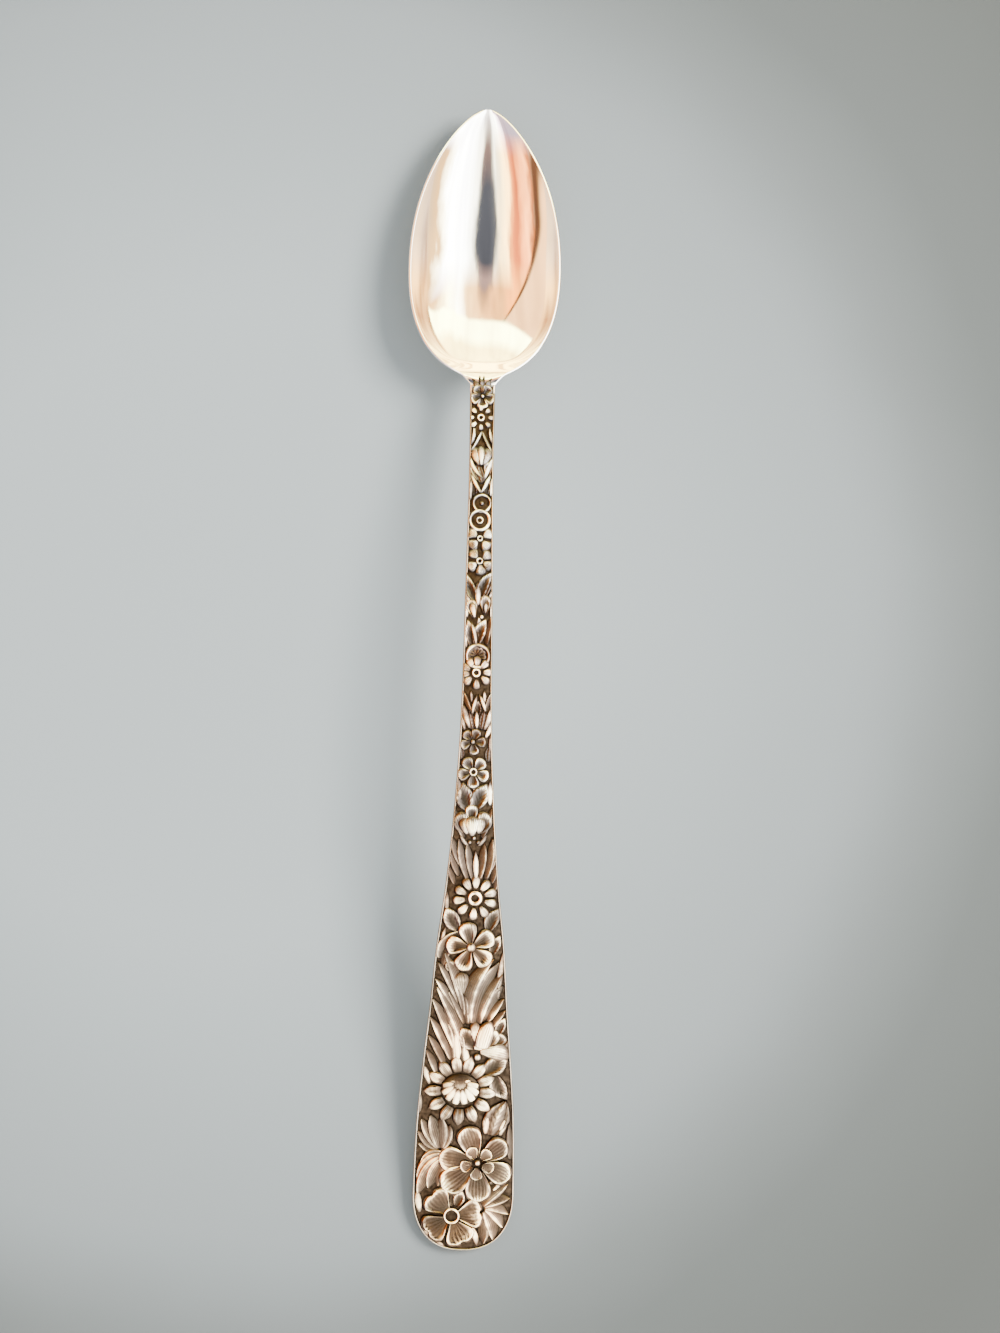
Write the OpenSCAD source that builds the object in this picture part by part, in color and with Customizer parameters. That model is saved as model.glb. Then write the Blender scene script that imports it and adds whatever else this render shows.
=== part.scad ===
// Iced tea spoon: a long thin stem, a pointed egg-shaped bowl and a flower-covered handle.
// It is forged from one bar, so its nodes are the named regions of that bar, face to face.
// The bowl points along +Y, its dish opens along +Z, and z = 0 is the table it lies on.
// The origin is midway along its length, at table level.

/* [Overall] */
// Overall length, bowl tip to handle end
spoon_l = 190.5; // [175:0.5:215]

/* [Bowl] */
// Length of the bowl, tip to heel
bowl_l = 46.2; // [42:0.1:54]
// Greatest width of the bowl
bowl_w = 25.4; // [21:0.1:30]
// Depth of the dish below its rim
bowl_d = 6.4; // [4.5:0.1:8]
// Thickness of the bowl's wall
bowl_wall = 1.2; // [1:0.05:1.6]
// How much higher the rim stands at the heel than at the tip
rim_rise = 4; // [2:0.1:6]
// How deep the resting flats are worn into the undersides
flat_cut = 0.2; // [0.1:0.05:0.3]

/* [Stem and handle] */
// Width of the stem where it leaves the bowl
stem_w = 4.2; // [3.6:0.1:5.2]
// Thickness of the stem where it leaves the bowl
stem_t = 2.6; // [2:0.1:3.2]
// Greatest width of the handle, near its round end
handle_w = 17; // [14:0.1:20]
// Thickness of the handle at its round end
handle_t = 1.8; // [1.4:0.1:2.4]
// Height of the top of the arch above the table
arch_h = 16; // [13:0.1:20]
// How much the front of the handle is crowned across its greatest width
crown_h = 0.5; // [0.2:0.05:0.9]

/* [Border] */
// Width of the plain raised border
border_w = 0.4; // [0.3:0.05:0.6]
// Height of the border above the sunk ground
border_h = 0.35; // [0.2:0.05:0.5]

/* [Ornament] */
// Height of the petals above the ground
petal_h = 0.5; // [0.3:0.05:0.8]
// Height of the leaves above the ground
leaf_h = 0.4; // [0.2:0.05:0.6]
// Gap between the ornament and the border
field_gap = 0.1; // [0.05:0.05:0.3]

/* [Hidden] */

// How the bowl's outline swells from its blunt tip and rounds in again behind
widest_share = 0.58;
tip_blunt = 0.03;
front_power = 0.7;
rear_power = 2.3;
// Where the bowl's own outline ends, and how the fillet from there runs down into the stem
fillet_share = 0.968;
fillet_spread = 0.65;
fillet_power = 1.2;
join_power = 4;
// The dish: where it is deepest, how full it is along and across, and where the heel thickens
deepest_power = 1.22;
dish_power = 0.7;
across_power = 2.4;
heel_share = 0.78;
// Where along the bowl the rim stands one depth and one wall above the table
pivot_share = 0.515;
// How much of the thickened heel shows at its sides
heel_side_share = 0.6;
// The bowl's rim is thinner than its wall
rim_share = 0.7;
rim_t = bowl_wall * rim_share;
tip_share = 0.0005;

// Where the regions of the handle meet, as shares of the handle's length from the heel
neck_share = 0.05;
stem_share = 0.46;
// Where the arch is highest, and how much of the fall stays steep down to the end
arch_share = 0.38;
steep_share = 0.4;
// The round end: its length as a share of the handle's width, and how full it is
round_share = 0.59;
round_power = 2.4;
// Widening of the handle, as shares of its length and of the growth from stem to handle
WIDEN_SHARES = [[0, 0], [0.1, -0.01], [0.24, 0.03], [0.35, 0.06], [0.42, 0.11], [0.5, 0.22], [0.57, 0.36],
    [0.64, 0.55], [0.71, 0.68], [0.78, 0.83], [0.85, 0.95], [0.93, 1], [1, 1]];

bowl_steps = 26;
bowl_sides = 14;
handle_steps = 44;
end_steps = 9;
end_share = 0.0001;
top_sides = 6;
under_sides = 8;
under_power = 0.7;

handle_l = spoon_l - bowl_l;
dish_y = spoon_l / 2;
heel_z = rim_z(1);
end_z = handle_t - flat_cut;
round_l = handle_w * round_share;

// Smooth curve through a table of shares
function cell(u, t, i = 0) = i >= len(t) - 2 || u < t[i + 1][0] ? i : cell(u, t, i + 1);
function steepness(t, i) =
    let(a = max(i - 1, 0), b = min(i + 1, len(t) - 1)) (t[b][1] - t[a][1]) / (t[b][0] - t[a][0]);
function through(u, t) =
    let(i = cell(u, t), gap = t[i + 1][0] - t[i][0], q = (u - t[i][0]) / gap)
    t[i][1] * (1 + 2 * q) * (1 - q) ^ 2 + t[i + 1][1] * q ^ 2 * (3 - 2 * q)
    + steepness(t, i) * gap * q * (1 - q) ^ 2 - steepness(t, i + 1) * gap * q ^ 2 * (1 - q);
function ease(q) = let(p = min(max(q, 0), 1)) p * p * (3 - 2 * p);

// The bowl, with t from 0 at its tip to 1 at its heel and v from -1 to 1 across
function blunted(q) = sqrt((q ^ 2 + 2 * tip_blunt * q) / (1 + 2 * tip_blunt));
function past(t) = (t - widest_share) / (fillet_share - widest_share);
function swell(t) = t < widest_share
    ? sin(90 * blunted(t / widest_share) ^ front_power)
    : (1 - min(past(t), 1) ^ rear_power) ^ (1 / rear_power);
function root_half(t) = stem_w / 2 * (t < fillet_share
    ? (1 + fillet_spread) * ease(past(t))
    : 1 + fillet_spread * ((1 - min(t, 1)) / (1 - fillet_share)) ^ fillet_power);
function bowl_half(t) = t < widest_share
    ? bowl_w / 2 * swell(t)
    : ((bowl_w / 2 * swell(t)) ^ join_power + root_half(t) ^ join_power) ^ (1 / join_power);
function rim_z(t) = bowl_d + bowl_wall - flat_cut + rim_rise * (t - pivot_share);
function dish(t) = bowl_d * sin(180 * t ^ deepest_power) ^ dish_power;
function hollow(t, v) = dish(t) * (1 - abs(v) ^ across_power);
function heel(t) = ease((t - heel_share) / (1 - heel_share));
function wall(t, v) =
    let(middle = bowl_wall + (stem_t - bowl_wall) * heel(t))
    let(side = rim_t + (middle - rim_t) * heel(t) * (1 - abs(v) ^ 3) * heel_side_share)
    side + (middle - side) * (1 - abs(v) ^ 4);
function bowl_y(t) = dish_y - bowl_l * t;
function bowl_ring(t) = concat(
    [for (i = [0 : bowl_sides]) let(v = -cos(180 * i / bowl_sides))
        [bowl_half(t) * v, bowl_y(t), rim_z(t) - hollow(t, v)]],
    [for (i = [0 : bowl_sides]) let(v = cos(180 * i / bowl_sides))
        [bowl_half(t) * v, bowl_y(t), rim_z(t) - hollow(t, v) - wall(t, v)]]);

// The handle, with u from 0 at the heel to 1 at the round end
function handle_y(u) = dish_y - bowl_l - handle_l * u;
function to_end(u) = handle_l * (1 - u);
function closing(u) = to_end(u) >= round_l ? 1
    : (1 - (1 - to_end(u) / round_l) ^ round_power) ^ (1 / round_power);
function half_w(u) =
    (stem_w / 2 + (handle_w - stem_w) / 2 * through(u, WIDEN_SHARES)) * closing(u);
function fall(q) = steep_share * cos(90 * q) + (1 - steep_share) * (1 + cos(180 * q)) / 2;
function front_z(u) = u < arch_share
    ? heel_z + (arch_h - heel_z) * sin(90 * u / arch_share)
    : end_z + (arch_h - end_z) * fall((u - arch_share) / (1 - arch_share));
function thick(u) = stem_t + (handle_t - stem_t) * u;
function crown(u) = crown_h * half_w(u) / (handle_w / 2);
// Height of the sunk ground at a place on the front
function ground_z(u, x) = front_z(u) - crown(u) * min((x / max(half_w(u), border_w)) ^ 2, 1);
function handle_ring(u) = concat(
    [for (i = [0 : top_sides]) let(x = half_w(u) * (2 * i / top_sides - 1)) [x, handle_y(u), ground_z(u, x)]],
    [for (i = [1 : under_sides - 1]) let(a = 180 * i / under_sides, c = cos(a))
        [half_w(u) * sign(c) * abs(c) ^ under_power, handle_y(u),
            front_z(u) - crown(u) - (thick(u) - crown(u)) * sin(a) ^ under_power]]);

// A closed solid through rings that all have as many points, with a flat or pointed cap at each end
module loft(rings) {
    n = len(rings[0]);
    last = len(rings) - 1;
    middle = function(ring) [for (k = [0 : 2]) [for (p = ring) p[k]] * [for (p = ring) 1] / n];
    points = concat([for (ring = rings) each ring], [middle(rings[0]), middle(rings[last])]);
    polyhedron(points, concat(
        [for (i = [0 : n - 1]) [n * (last + 1), (i + 1) % n, i]],
        [for (k = [0 : last - 1]) for (i = [0 : n - 1]) let(a = k * n + i, b = k * n + (i + 1) % n)
            each [[a, b, b + n], [a, b + n, a + n]]],
        [for (i = [0 : n - 1]) [n * (last + 1) + 1, last * n + i, last * n + (i + 1) % n]]));
}

// What lies under the table, which wears flats on the undersides
module below_table() {
    translate([-bowl_w, -spoon_l, -2 * bowl_w]) cube([2 * bowl_w, 2 * spoon_l, 2 * bowl_w]);
}

// Where the round end begins, and places along the handle that crowd together towards its very end
round_start = 1 - round_l / handle_l;
function end_us() =
    [for (k = [1 : end_steps]) round_start + (1 - end_share - round_start) * sin(90 * k / end_steps)];
function run_us(from_u, to_u) =
    let(steps = ceil(handle_steps * (to_u - from_u)) + 1)
    [for (k = [0 : steps]) from_u + (to_u - from_u) * k / steps];

// The handle at a list of places along its length
module handle_run(us) {
    loft([for (u = us) handle_ring(u)]);
}

// The ornament stands in the field inside the border. Across the handle its places and sizes are shares of
// the field, and along it they are shares of a reach that grows with the handle's length.
stem_reach_share = 0.0111;
end_reach_share = 0.0552;
function field(u) = half_w(u) - border_w - field_gap;
function reach(u) =
    handle_l * (stem_reach_share + (end_reach_share - stem_reach_share) * through(u, WIDEN_SHARES));
function placed(f, across, along) = [(f[1] + across) * field(f[0]), handle_y(f[0]) + along * reach(f[0])];
function boss_r(f, share) = f[2] * share * (field(f[0]) + reach(f[0])) / 2;
function u_of(y) = (dish_y - bowl_l - y) / handle_l;
function seated(p, h) = [p[0], p[1], ground_z(u_of(p[1]), p[0]) + h];

// A flower with so many petals, its middle a level disc that carries a ring or a dome
petal_steps = 4;
notch_share = 0.34;
disc_share = 0.36;
edge_share = 0.45;
function petal(a, petals) = abs(cos(petals * a / 2)) ^ 0.5;
function petal_ring(f, size, low) = [for (i = [0 : f[3] * petal_steps - 1])
    let(a = 360 * i / (f[3] * petal_steps), s = f[2] * size * (1 - notch_share * low * (1 - petal(a, f[3]))))
    concat(placed(f, s * cos(a + f[4]), s * sin(a + f[4])), petal(a, f[3]))];
function disc_z(f) = ground_z(f[0], placed(f, 0, 0)[0]) + petal_h * edge_share;
module flower(f) {
    outline = petal_ring(f, 1, 1);
    loft([
        [for (p = outline) seated(p, 0)],
        [for (p = outline) seated(p, petal_h * edge_share)],
        [for (p = petal_ring(f, (1 + disc_share) / 2, 1 / 2))
            seated(p, petal_h * (edge_share + (1 - edge_share) * p[2]))],
        [for (p = petal_ring(f, disc_share, 0)) [p[0], p[1], disc_z(f)]]]);
}

// A leaf or bud: where its foot is, its length, its direction, its bend and its width for its length
leaf_steps = 5;
leaf_power = 0.8;
function leaf_point(f, q, side) =
    let(length = 2 * f[2], way = f[3] + f[4] * q, half = f[5] * length * sin(180 * q ^ leaf_power) / 2)
    placed(f, length * q * sin(way) + side * half * cos(way), length * q * cos(way) - side * half * sin(way));
function leaf_outline(f) = concat(
    [for (k = [0 : leaf_steps]) leaf_point(f, k / leaf_steps, 1)],
    [for (k = [leaf_steps - 1 : -1 : 1]) leaf_point(f, k / leaf_steps, -1)]);
module leaf(f, h) {
    outline = leaf_outline(f);
    centre = leaf_point(f, 1 / 2, 0);
    loft([
        [for (p = outline) seated(p, 0)],
        [for (p = outline) seated(p, h * edge_share)],
        [for (p = outline) seated(p + (centre - p) / 2, h)]]);
}

// Flowers: place along the handle, place across, radius, petals, turn
STEM_FLOWER_SHARES = [[0.012, 0, 1, 5, 54], [0.037, 0, 1, 8, 0], [0.155, 0, 1, 6, 0], [0.18, 0, 1, 5, 90],
    [0.205, 0, 1, 5, 36], [0.332, 0, 0.98, 9, 10], [0.414, 0, 0.9, 5, 90], [0.446, 0, 0.96, 5, 18]];
SHOULDER_FLOWER_SHARES = [[0.591, 0.06, 0.9, 10, 0], [0.65, 0.1, 0.72, 5, 20]];
ROSE_SHARES = [0.502, 0, 0.86, 7, 0];
LILY_SHARES = [0.753, 0.4, 0.46, 5, 60];
GREAT_DAISY_SHARES = [0.812, -0.04, 0.78, 13, 0];
SIX_PETAL_SHARES = [0.895, 0.28, 0.66, 6, 20];
END_BLOSSOM_SHARES = [0.96, -0.22, 0.56, 5, 60];
// Which of the flowers carry a ring and which a dome, and how wide for the flower
RINGED = [STEM_FLOWER_SHARES[1], STEM_FLOWER_SHARES[2], STEM_FLOWER_SHARES[4], STEM_FLOWER_SHARES[5],
    STEM_FLOWER_SHARES[7], SHOULDER_FLOWER_SHARES[0], END_BLOSSOM_SHARES];
DOMED = [STEM_FLOWER_SHARES[0], STEM_FLOWER_SHARES[3], STEM_FLOWER_SHARES[6], SHOULDER_FLOWER_SHARES[1],
    ROSE_SHARES, LILY_SHARES, GREAT_DAISY_SHARES, SIX_PETAL_SHARES];
ring_share = 0.28;
dome_share = 0.3;
dome_steps = 6;

// Leaves and buds: foot along the handle, foot across, length, direction, bend, width for length
BUD_SHARES = [[0.091, 0, 0.92, 0, 0, 0.7], [0.142, 0, 0.55, 0, 0, 1], [0.258, -0.45, 0.55, -4, 0, 0.6],
    [0.253, 0.45, 0.55, 4, 0, 0.6], [0.316, 0, 0.55, 0, 0, 1.2]];
STEM_LEAF_SHARES = [for (pair = [[0.069, 0.86], [0.1125, 0.86], [0.1285, 0.64], [0.2385, 0.92], [0.289, 0.95],
        [0.3715, 0.88], [0.3985, 0.88]])
    for (side = [-1, 1]) [pair[0], side * 0.3, pair[1], side * 14, -side * 14, 0.3]];
SHOULDER_LEAF_SHARES = [for (pair = [[0.4832, 0.48, 0.35], [0.548, 0.52, 0.3], [0.553, 0.46, 0.68],
        [0.628, 0.24, 0.82], [0.708, 0.36, 0.34], [0.7, 0.4, 0.76], [0.7285, 0.34, 0.6]])
    for (side = [-1, 1]) [pair[0], side * pair[2], pair[1], side * 12, -side * 16, 0.28]];
END_LEAF_SHARES = [[0.766, -0.55, 0.34, -10, 20, 0.3], [0.76, -0.22, 0.28, -4, -8, 0.26],
    [0.855, -0.88, 0.3, 0, 4, 0.26], [0.875, -0.62, 0.21, -20, 30, 0.4], [0.906, -0.62, 0.27, -20, 20, 0.36],
    [0.853, 0.88, 0.28, 0, -4, 0.26], [0.936, -0.8, 0.2, 0, 10, 0.3], [0.962, 0.8, 0.24, 20, -46, 0.36],
    [0.985, 0.52, 0.2, 40, -30, 0.3]];

module bowl() {
    steps = bowl_steps;
    color("silver") difference() {
        loft([for (k = [0 : steps]) bowl_ring(tip_share + (1 - tip_share) * (1 - cos(180 * k / steps)) / 2)]);
        below_table();
    }
}

module neck() {
    color("silver") handle_run(run_us(0, neck_share));
}

module stem() {
    color("dimgray") handle_run(run_us(neck_share, stem_share));
}

module handle() {
    color("dimgray") difference() {
        handle_run(concat(run_us(stem_share, round_start), end_us()));
        below_table();
    }
}

// The border runs down one edge, round the end and back up the other
function border_side(side) =
    [for (u = concat(run_us(neck_share, round_start), end_us())) [side * half_w(u), handle_y(u)]];
function border_path() =
    let(left = border_side(-1), right = border_side(1), n = len(left))
    concat(left, [for (i = [n - 1 : -1 : 0]) right[i]]);
function inward(path, i) =
    let(way = path[min(i + 1, len(path) - 1)] - path[max(i - 1, 0)]) [-way[1], way[0]] / norm(way);
function border_ring(path, i) =
    let(p = path[i], n = inward(path, i), u = u_of(p[1]), middle = p + n * border_w / 2, inner = p + n * border_w) [
        [p[0], p[1], ground_z(u, p[0])],
        [p[0], p[1], ground_z(u, p[0]) + border_h / 2],
        [middle[0], middle[1], ground_z(u_of(middle[1]), middle[0]) + border_h],
        [inner[0], inner[1], ground_z(u_of(inner[1]), inner[0])]];
module border() {
    path = border_path();
    color("silver") loft([for (i = [0 : len(path) - 1]) border_ring(path, i)]);
}

module stem_flowers() {
    color("gainsboro") for (f = STEM_FLOWER_SHARES) flower(f);
}

module stem_buds() {
    color("gainsboro") for (f = BUD_SHARES) leaf(f, petal_h);
}

module stem_leaves() {
    color("darkgray") for (f = STEM_LEAF_SHARES) leaf(f, leaf_h);
}

module shoulder_flowers() {
    color("gainsboro") for (f = SHOULDER_FLOWER_SHARES) flower(f);
}

module shoulder_leaves() {
    color("darkgray") for (f = SHOULDER_LEAF_SHARES) leaf(f, leaf_h);
}

module rose() {
    color("gainsboro") flower(ROSE_SHARES);
}

module lily() {
    color("gainsboro") flower(LILY_SHARES);
}

module great_daisy() {
    color("gainsboro") flower(GREAT_DAISY_SHARES);
}

module six_petal_blossom() {
    color("gainsboro") flower(SIX_PETAL_SHARES);
}

module end_blossom() {
    color("gainsboro") flower(END_BLOSSOM_SHARES);
}

module end_leaves() {
    color("darkgray") for (f = END_LEAF_SHARES) leaf(f, leaf_h);
}

// A round ring that stands on a flower's middle
module flower_rings() {
    color("silver") for (f = RINGED) {
        r = boss_r(f, ring_share);
        translate(concat(placed(f, 0, 0), disc_z(f))) difference() {
            cylinder(h = petal_h, r = r, $fn = 24);
            cylinder(h = 2 * petal_h, r = r / 2, $fn = 24);
        }
    }
}

// A round dome that stands on a flower's middle
module flower_domes() {
    color("silver") for (f = DOMED) {
        r = boss_r(f, dome_share);
        translate(concat(placed(f, 0, 0), disc_z(f)))
            rotate_extrude($fn = 24) polygon(concat([[0, 0]],
                [for (k = [0 : dome_steps]) let(a = 90 * k / dome_steps) [r * cos(a), petal_h * sin(a)]]));
    }
}

bowl();
neck();
stem();
handle();
border();
stem_flowers();
stem_buds();
stem_leaves();
shoulder_flowers();
shoulder_leaves();
rose();
lily();
great_daisy();
six_petal_blossom();
end_blossom();
end_leaves();
flower_rings();
flower_domes();
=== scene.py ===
# %% [markdown]
# An iced tea spoon lying on a pale table, seen from straight above. The spoon is one forging: a polished
# bowl, an arched stem and a broad round end whose front is struck with flowers and leaves. The CAD frame
# gives the size and place of every region. Here each region gets a smooth surface, and the flowers are
# modelled petal by petal, laid on the handle's front and darkened in the hollows as old silver is.

# %% Load the frame
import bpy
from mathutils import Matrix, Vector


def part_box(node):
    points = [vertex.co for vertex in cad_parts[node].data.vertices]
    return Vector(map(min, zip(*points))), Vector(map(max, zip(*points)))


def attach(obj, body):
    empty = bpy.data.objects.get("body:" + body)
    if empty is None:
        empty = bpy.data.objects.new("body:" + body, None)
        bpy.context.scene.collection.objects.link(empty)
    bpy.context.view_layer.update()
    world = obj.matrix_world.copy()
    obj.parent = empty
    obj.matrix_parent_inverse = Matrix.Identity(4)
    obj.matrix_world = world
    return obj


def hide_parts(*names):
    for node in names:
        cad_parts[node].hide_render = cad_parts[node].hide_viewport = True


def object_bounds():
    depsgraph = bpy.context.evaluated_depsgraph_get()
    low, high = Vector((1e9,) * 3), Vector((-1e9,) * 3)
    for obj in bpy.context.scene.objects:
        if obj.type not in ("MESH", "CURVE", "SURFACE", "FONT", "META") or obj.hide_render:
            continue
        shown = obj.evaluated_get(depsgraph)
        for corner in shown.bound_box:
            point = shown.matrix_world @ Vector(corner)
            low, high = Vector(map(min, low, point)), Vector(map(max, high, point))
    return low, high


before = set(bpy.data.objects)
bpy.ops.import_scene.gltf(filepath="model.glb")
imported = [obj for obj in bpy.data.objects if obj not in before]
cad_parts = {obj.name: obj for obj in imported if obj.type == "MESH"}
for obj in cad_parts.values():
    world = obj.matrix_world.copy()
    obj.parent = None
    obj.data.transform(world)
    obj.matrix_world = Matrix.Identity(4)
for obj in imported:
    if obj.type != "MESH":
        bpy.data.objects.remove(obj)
CAD_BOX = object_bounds()
print("CAD box", CAD_BOX)

import math
import bmesh
import bpy
import mathutils

# %% [markdown]
# The driving sizes are those of the solids, in metres. Lengths and widths are read from the boxes of the CAD
# pieces, and the others are the same named sizes as in the CAD source, because the smooth skin follows the
# same rules. A place along the bowl is t, from 0 at the tip to 1 at the stem. A place along the stem and
# handle is u, from 0 at the bowl to 1 at the round end.

# %% Driving sizes
MM = 0.001
TIP_Y = CAD_BOX[1][1]
END_Y = CAD_BOX[0][1]
BOWL_L = TIP_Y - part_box("bowl")[0][1]
BOWL_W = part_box("bowl")[1][0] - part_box("bowl")[0][0]
HANDLE_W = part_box("handle")[1][0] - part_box("handle")[0][0]
HANDLE_L = TIP_Y - END_Y - BOWL_L
BOWL_D = 6.4 * MM
BOWL_WALL = 1.2 * MM
RIM_RISE = 4 * MM
FLAT_CUT = 0.2 * MM
STEM_W = 4.2 * MM
STEM_T = 2.6 * MM
HANDLE_T = 1.8 * MM
ARCH_H = 16 * MM
CROWN_H = 0.5 * MM
LIP = 0.42 * MM
ROUND_L = HANDLE_W * 0.59
print("bowl", BOWL_L, BOWL_W, "handle", HANDLE_L, HANDLE_W)

# %% [markdown]
# The bowl is drawn with a few curves. Seen from above, one runs from the tip to the widest place, a rounder
# one goes on to the heel, and a small fillet spreads into the stem. The dish is deepest a little past the
# middle, and its rim rises towards the stem.

# %% Curves of the bowl
WIDEST, PIVOT, FILLET = 0.58, 0.515, 0.968
TIP_BLUNT, FRONT_POWER, REAR_POWER = 0.06, 0.7, 2.3
FILLET_SPREAD, FILLET_POWER, JOIN_POWER = 0.65, 1.2, 4
DISH_SKEW, DISH_POWER, DISH_SECTION = 1.22, 0.7, 2.4


def ease(q):
    q = min(max(q, 0), 1)
    return q * q * (3 - 2 * q)


def mixed(a, b, share):
    return tuple(p + (q - p) * share for p, q in zip(a, b))


def bowl_half(t):
    if t < WIDEST:
        q = max(t, 0) / WIDEST
        blunted = math.sqrt((q * q + TIP_BLUNT * q) / (1 + TIP_BLUNT))
        return BOWL_W / 2 * math.sin(math.pi / 2 * blunted ** FRONT_POWER)
    past = (t - WIDEST) / (FILLET - WIDEST)
    swell = (1 - min(past, 1) ** REAR_POWER) ** (1 / REAR_POWER)
    if t < FILLET:
        spread = (1 + FILLET_SPREAD) * ease(past)
    else:
        spread = 1 + FILLET_SPREAD * ((1 - min(t, 1)) / (1 - FILLET)) ** FILLET_POWER
    return ((BOWL_W / 2 * swell) ** JOIN_POWER + (STEM_W / 2 * spread) ** JOIN_POWER) ** (1 / JOIN_POWER)


def rim_z(t):
    return BOWL_D + BOWL_WALL - FLAT_CUT + RIM_RISE * (t - PIVOT)


def dish(t):
    return BOWL_D * math.sin(math.pi * t ** DISH_SKEW) ** DISH_POWER if 0 < t < 1 else 0


def dish_top(t, across):
    return rim_z(t) - dish(t) * (1 - abs(across) ** DISH_SECTION)


print("bowl half width at its widest", bowl_half(WIDEST), "and at the stem", bowl_half(1))

# %% [markdown]
# The handle follows a short table that says how much of its full width it has at each place, with a smooth
# curve through the points. From the side it climbs in a quarter of a wave to the top of the arch and comes
# down to the table in a longer one. Its front is slightly crowned across.

# %% Curves of the handle
WIDEN = [(0, 0), (0.1, -0.01), (0.24, 0.03), (0.35, 0.06), (0.42, 0.11), (0.5, 0.22), (0.57, 0.36),
         (0.64, 0.55), (0.71, 0.68), (0.78, 0.83), (0.85, 0.95), (0.93, 1), (1, 1)]
ARCH, STEEP = 0.38, 0.4
END_POWER, END_U = 2.4, 0.9999


def through(u, table):
    i = next((k for k in range(len(table) - 1) if u < table[k + 1][0]), len(table) - 2)
    (a, low), (b, high) = table[i], table[i + 1]

    def steepness(k):
        first, last = table[max(k - 1, 0)], table[min(k + 1, len(table) - 1)]
        return (last[1] - first[1]) / (last[0] - first[0])

    gap = b - a
    q = (u - a) / gap
    return (low * (1 + 2 * q) * (1 - q) ** 2 + high * q * q * (3 - 2 * q)
            + steepness(i) * gap * q * (1 - q) ** 2 - steepness(i + 1) * gap * q * q * (1 - q))


def half_w(u):
    left = HANDLE_L * (1 - u)
    closing = 1 if left >= ROUND_L else (1 - (1 - left / ROUND_L) ** END_POWER) ** (1 / END_POWER)
    return (STEM_W / 2 + (HANDLE_W - STEM_W) / 2 * through(u, WIDEN)) * closing


def front_z(u):
    heel_z = rim_z(1)
    if u < ARCH:
        return heel_z + (ARCH_H - heel_z) * math.sin(math.pi / 2 * u / ARCH)
    q = (u - ARCH) / (1 - ARCH)
    fall = STEEP * math.cos(math.pi / 2 * q) + (1 - STEEP) * (1 + math.cos(math.pi * q)) / 2
    return HANDLE_T - FLAT_CUT + (ARCH_H - HANDLE_T + FLAT_CUT) * fall


def crown(u):
    return CROWN_H * half_w(u) / (HANDLE_W / 2)


def handle_y(u):
    return TIP_Y - BOWL_L - HANDLE_L * u


def u_at(y):
    return min(max((TIP_Y - BOWL_L - y) / HANDLE_L, 0), END_U)


print("top of the arch", front_z(ARCH), "and of the end", front_z(1))

# %% [markdown]
# The flowers have to know how high the silver under them is. On the stem and handle that is the crowned
# front, and in the last part of the bowl the dish turns into it.

# %% Height of the ground under the relief
JOIN_FROM, JOIN_SPAN = 0.9, 0.1


def into_stem(t):
    return ease((t - JOIN_FROM) / JOIN_SPAN)


def ground(x, y):
    u = u_at(y)
    stem_top = front_z(u) - crown(u) * min((x / max(half_w(u), LIP)) ** 2, 1)
    t = (TIP_Y - y) / BOWL_L
    if t >= 1:
        return stem_top
    heel_top = dish_top(t, min(abs(x) / bowl_half(t), 1))
    return heel_top + (stem_top - heel_top) * into_stem(t)


print("ground at the neck", ground(0, TIP_Y - BOWL_L))

# %% [markdown]
# Every long piece here is a sweep: a ring of points is extruded again and again, and each new ring is moved
# to its place along the spoon. That is how one would draw it by hand in edit mode, and it keeps the quads in
# even rows, which a polished surface needs, because a mirror shows every kink.

# %% Tools for modelling
def start_clean():
    if bpy.context.object and bpy.context.object.mode != "OBJECT":
        bpy.ops.object.mode_set(mode="OBJECT")
    bpy.ops.object.select_all(action="DESELECT")


def edit(piece):
    start_clean()
    piece.select_set(True)
    bpy.context.view_layer.objects.active = piece
    bpy.ops.object.mode_set(mode="EDIT")
    bpy.ops.mesh.select_mode(type="VERT")


def select(piece, test):
    mesh = bmesh.from_edit_mesh(piece.data)
    for v in mesh.verts:
        v.select_set(test(v))
    mesh.select_flush(True)
    bmesh.update_edit_mesh(piece.data)


SHARP = math.radians(62)


def finish(piece, name, levels):
    bpy.ops.object.mode_set(mode="OBJECT")
    piece.name = piece.data.name = name
    if levels:
        modifier = piece.modifiers.new("smooth", "SUBSURF")
        modifier.levels = modifier.render_levels = levels
        bpy.ops.object.modifier_apply(modifier=modifier.name)
    bpy.ops.object.shade_smooth_by_angle(angle=SHARP)


def sweep(name, rings, levels=1):
    start_clean()
    count = len(rings[0])
    bpy.ops.mesh.primitive_circle_add(vertices=count, radius=MM, fill_type="NOTHING")
    piece = bpy.context.object
    edit(piece)
    bpy.ops.mesh.select_all(action="SELECT")
    places = {i: i for i in range(count)}
    for k, ring in enumerate(rings):
        if k:
            bpy.ops.mesh.extrude_edges_move()
        mesh = bmesh.from_edit_mesh(piece.data)
        mesh.verts.ensure_lookup_table()
        mesh.verts.index_update()
        if k:
            places = {v.index: next(places[e.other_vert(v).index] for e in v.link_edges
                                    if not e.other_vert(v).select) for v in mesh.verts if v.select}
        for index, place in places.items():
            mesh.verts[index].co = ring[place]
        bmesh.update_edit_mesh(piece.data)
    for cap in (set(range(count)), set(places)):
        select(piece, lambda v: v.index in cap)
        bpy.ops.mesh.edge_face_add()
        bpy.ops.transform.edge_crease(value=1)
    bpy.ops.mesh.select_all(action="SELECT")
    bpy.ops.mesh.normals_make_consistent(inside=False)
    finish(piece, name, levels)
    print(name, len(piece.data.polygons), "faces")
    return piece


# %% [markdown]
# The bowl is a pressed dish, about as thick as a coin, with a narrow rounded rim and a heel that thickens
# into the stem. Its section across is drawn at many places along it: the dish from edge to edge, the round
# of the rim, and the outside back again. The last sections turn smoothly into the section of the stem.

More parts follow.
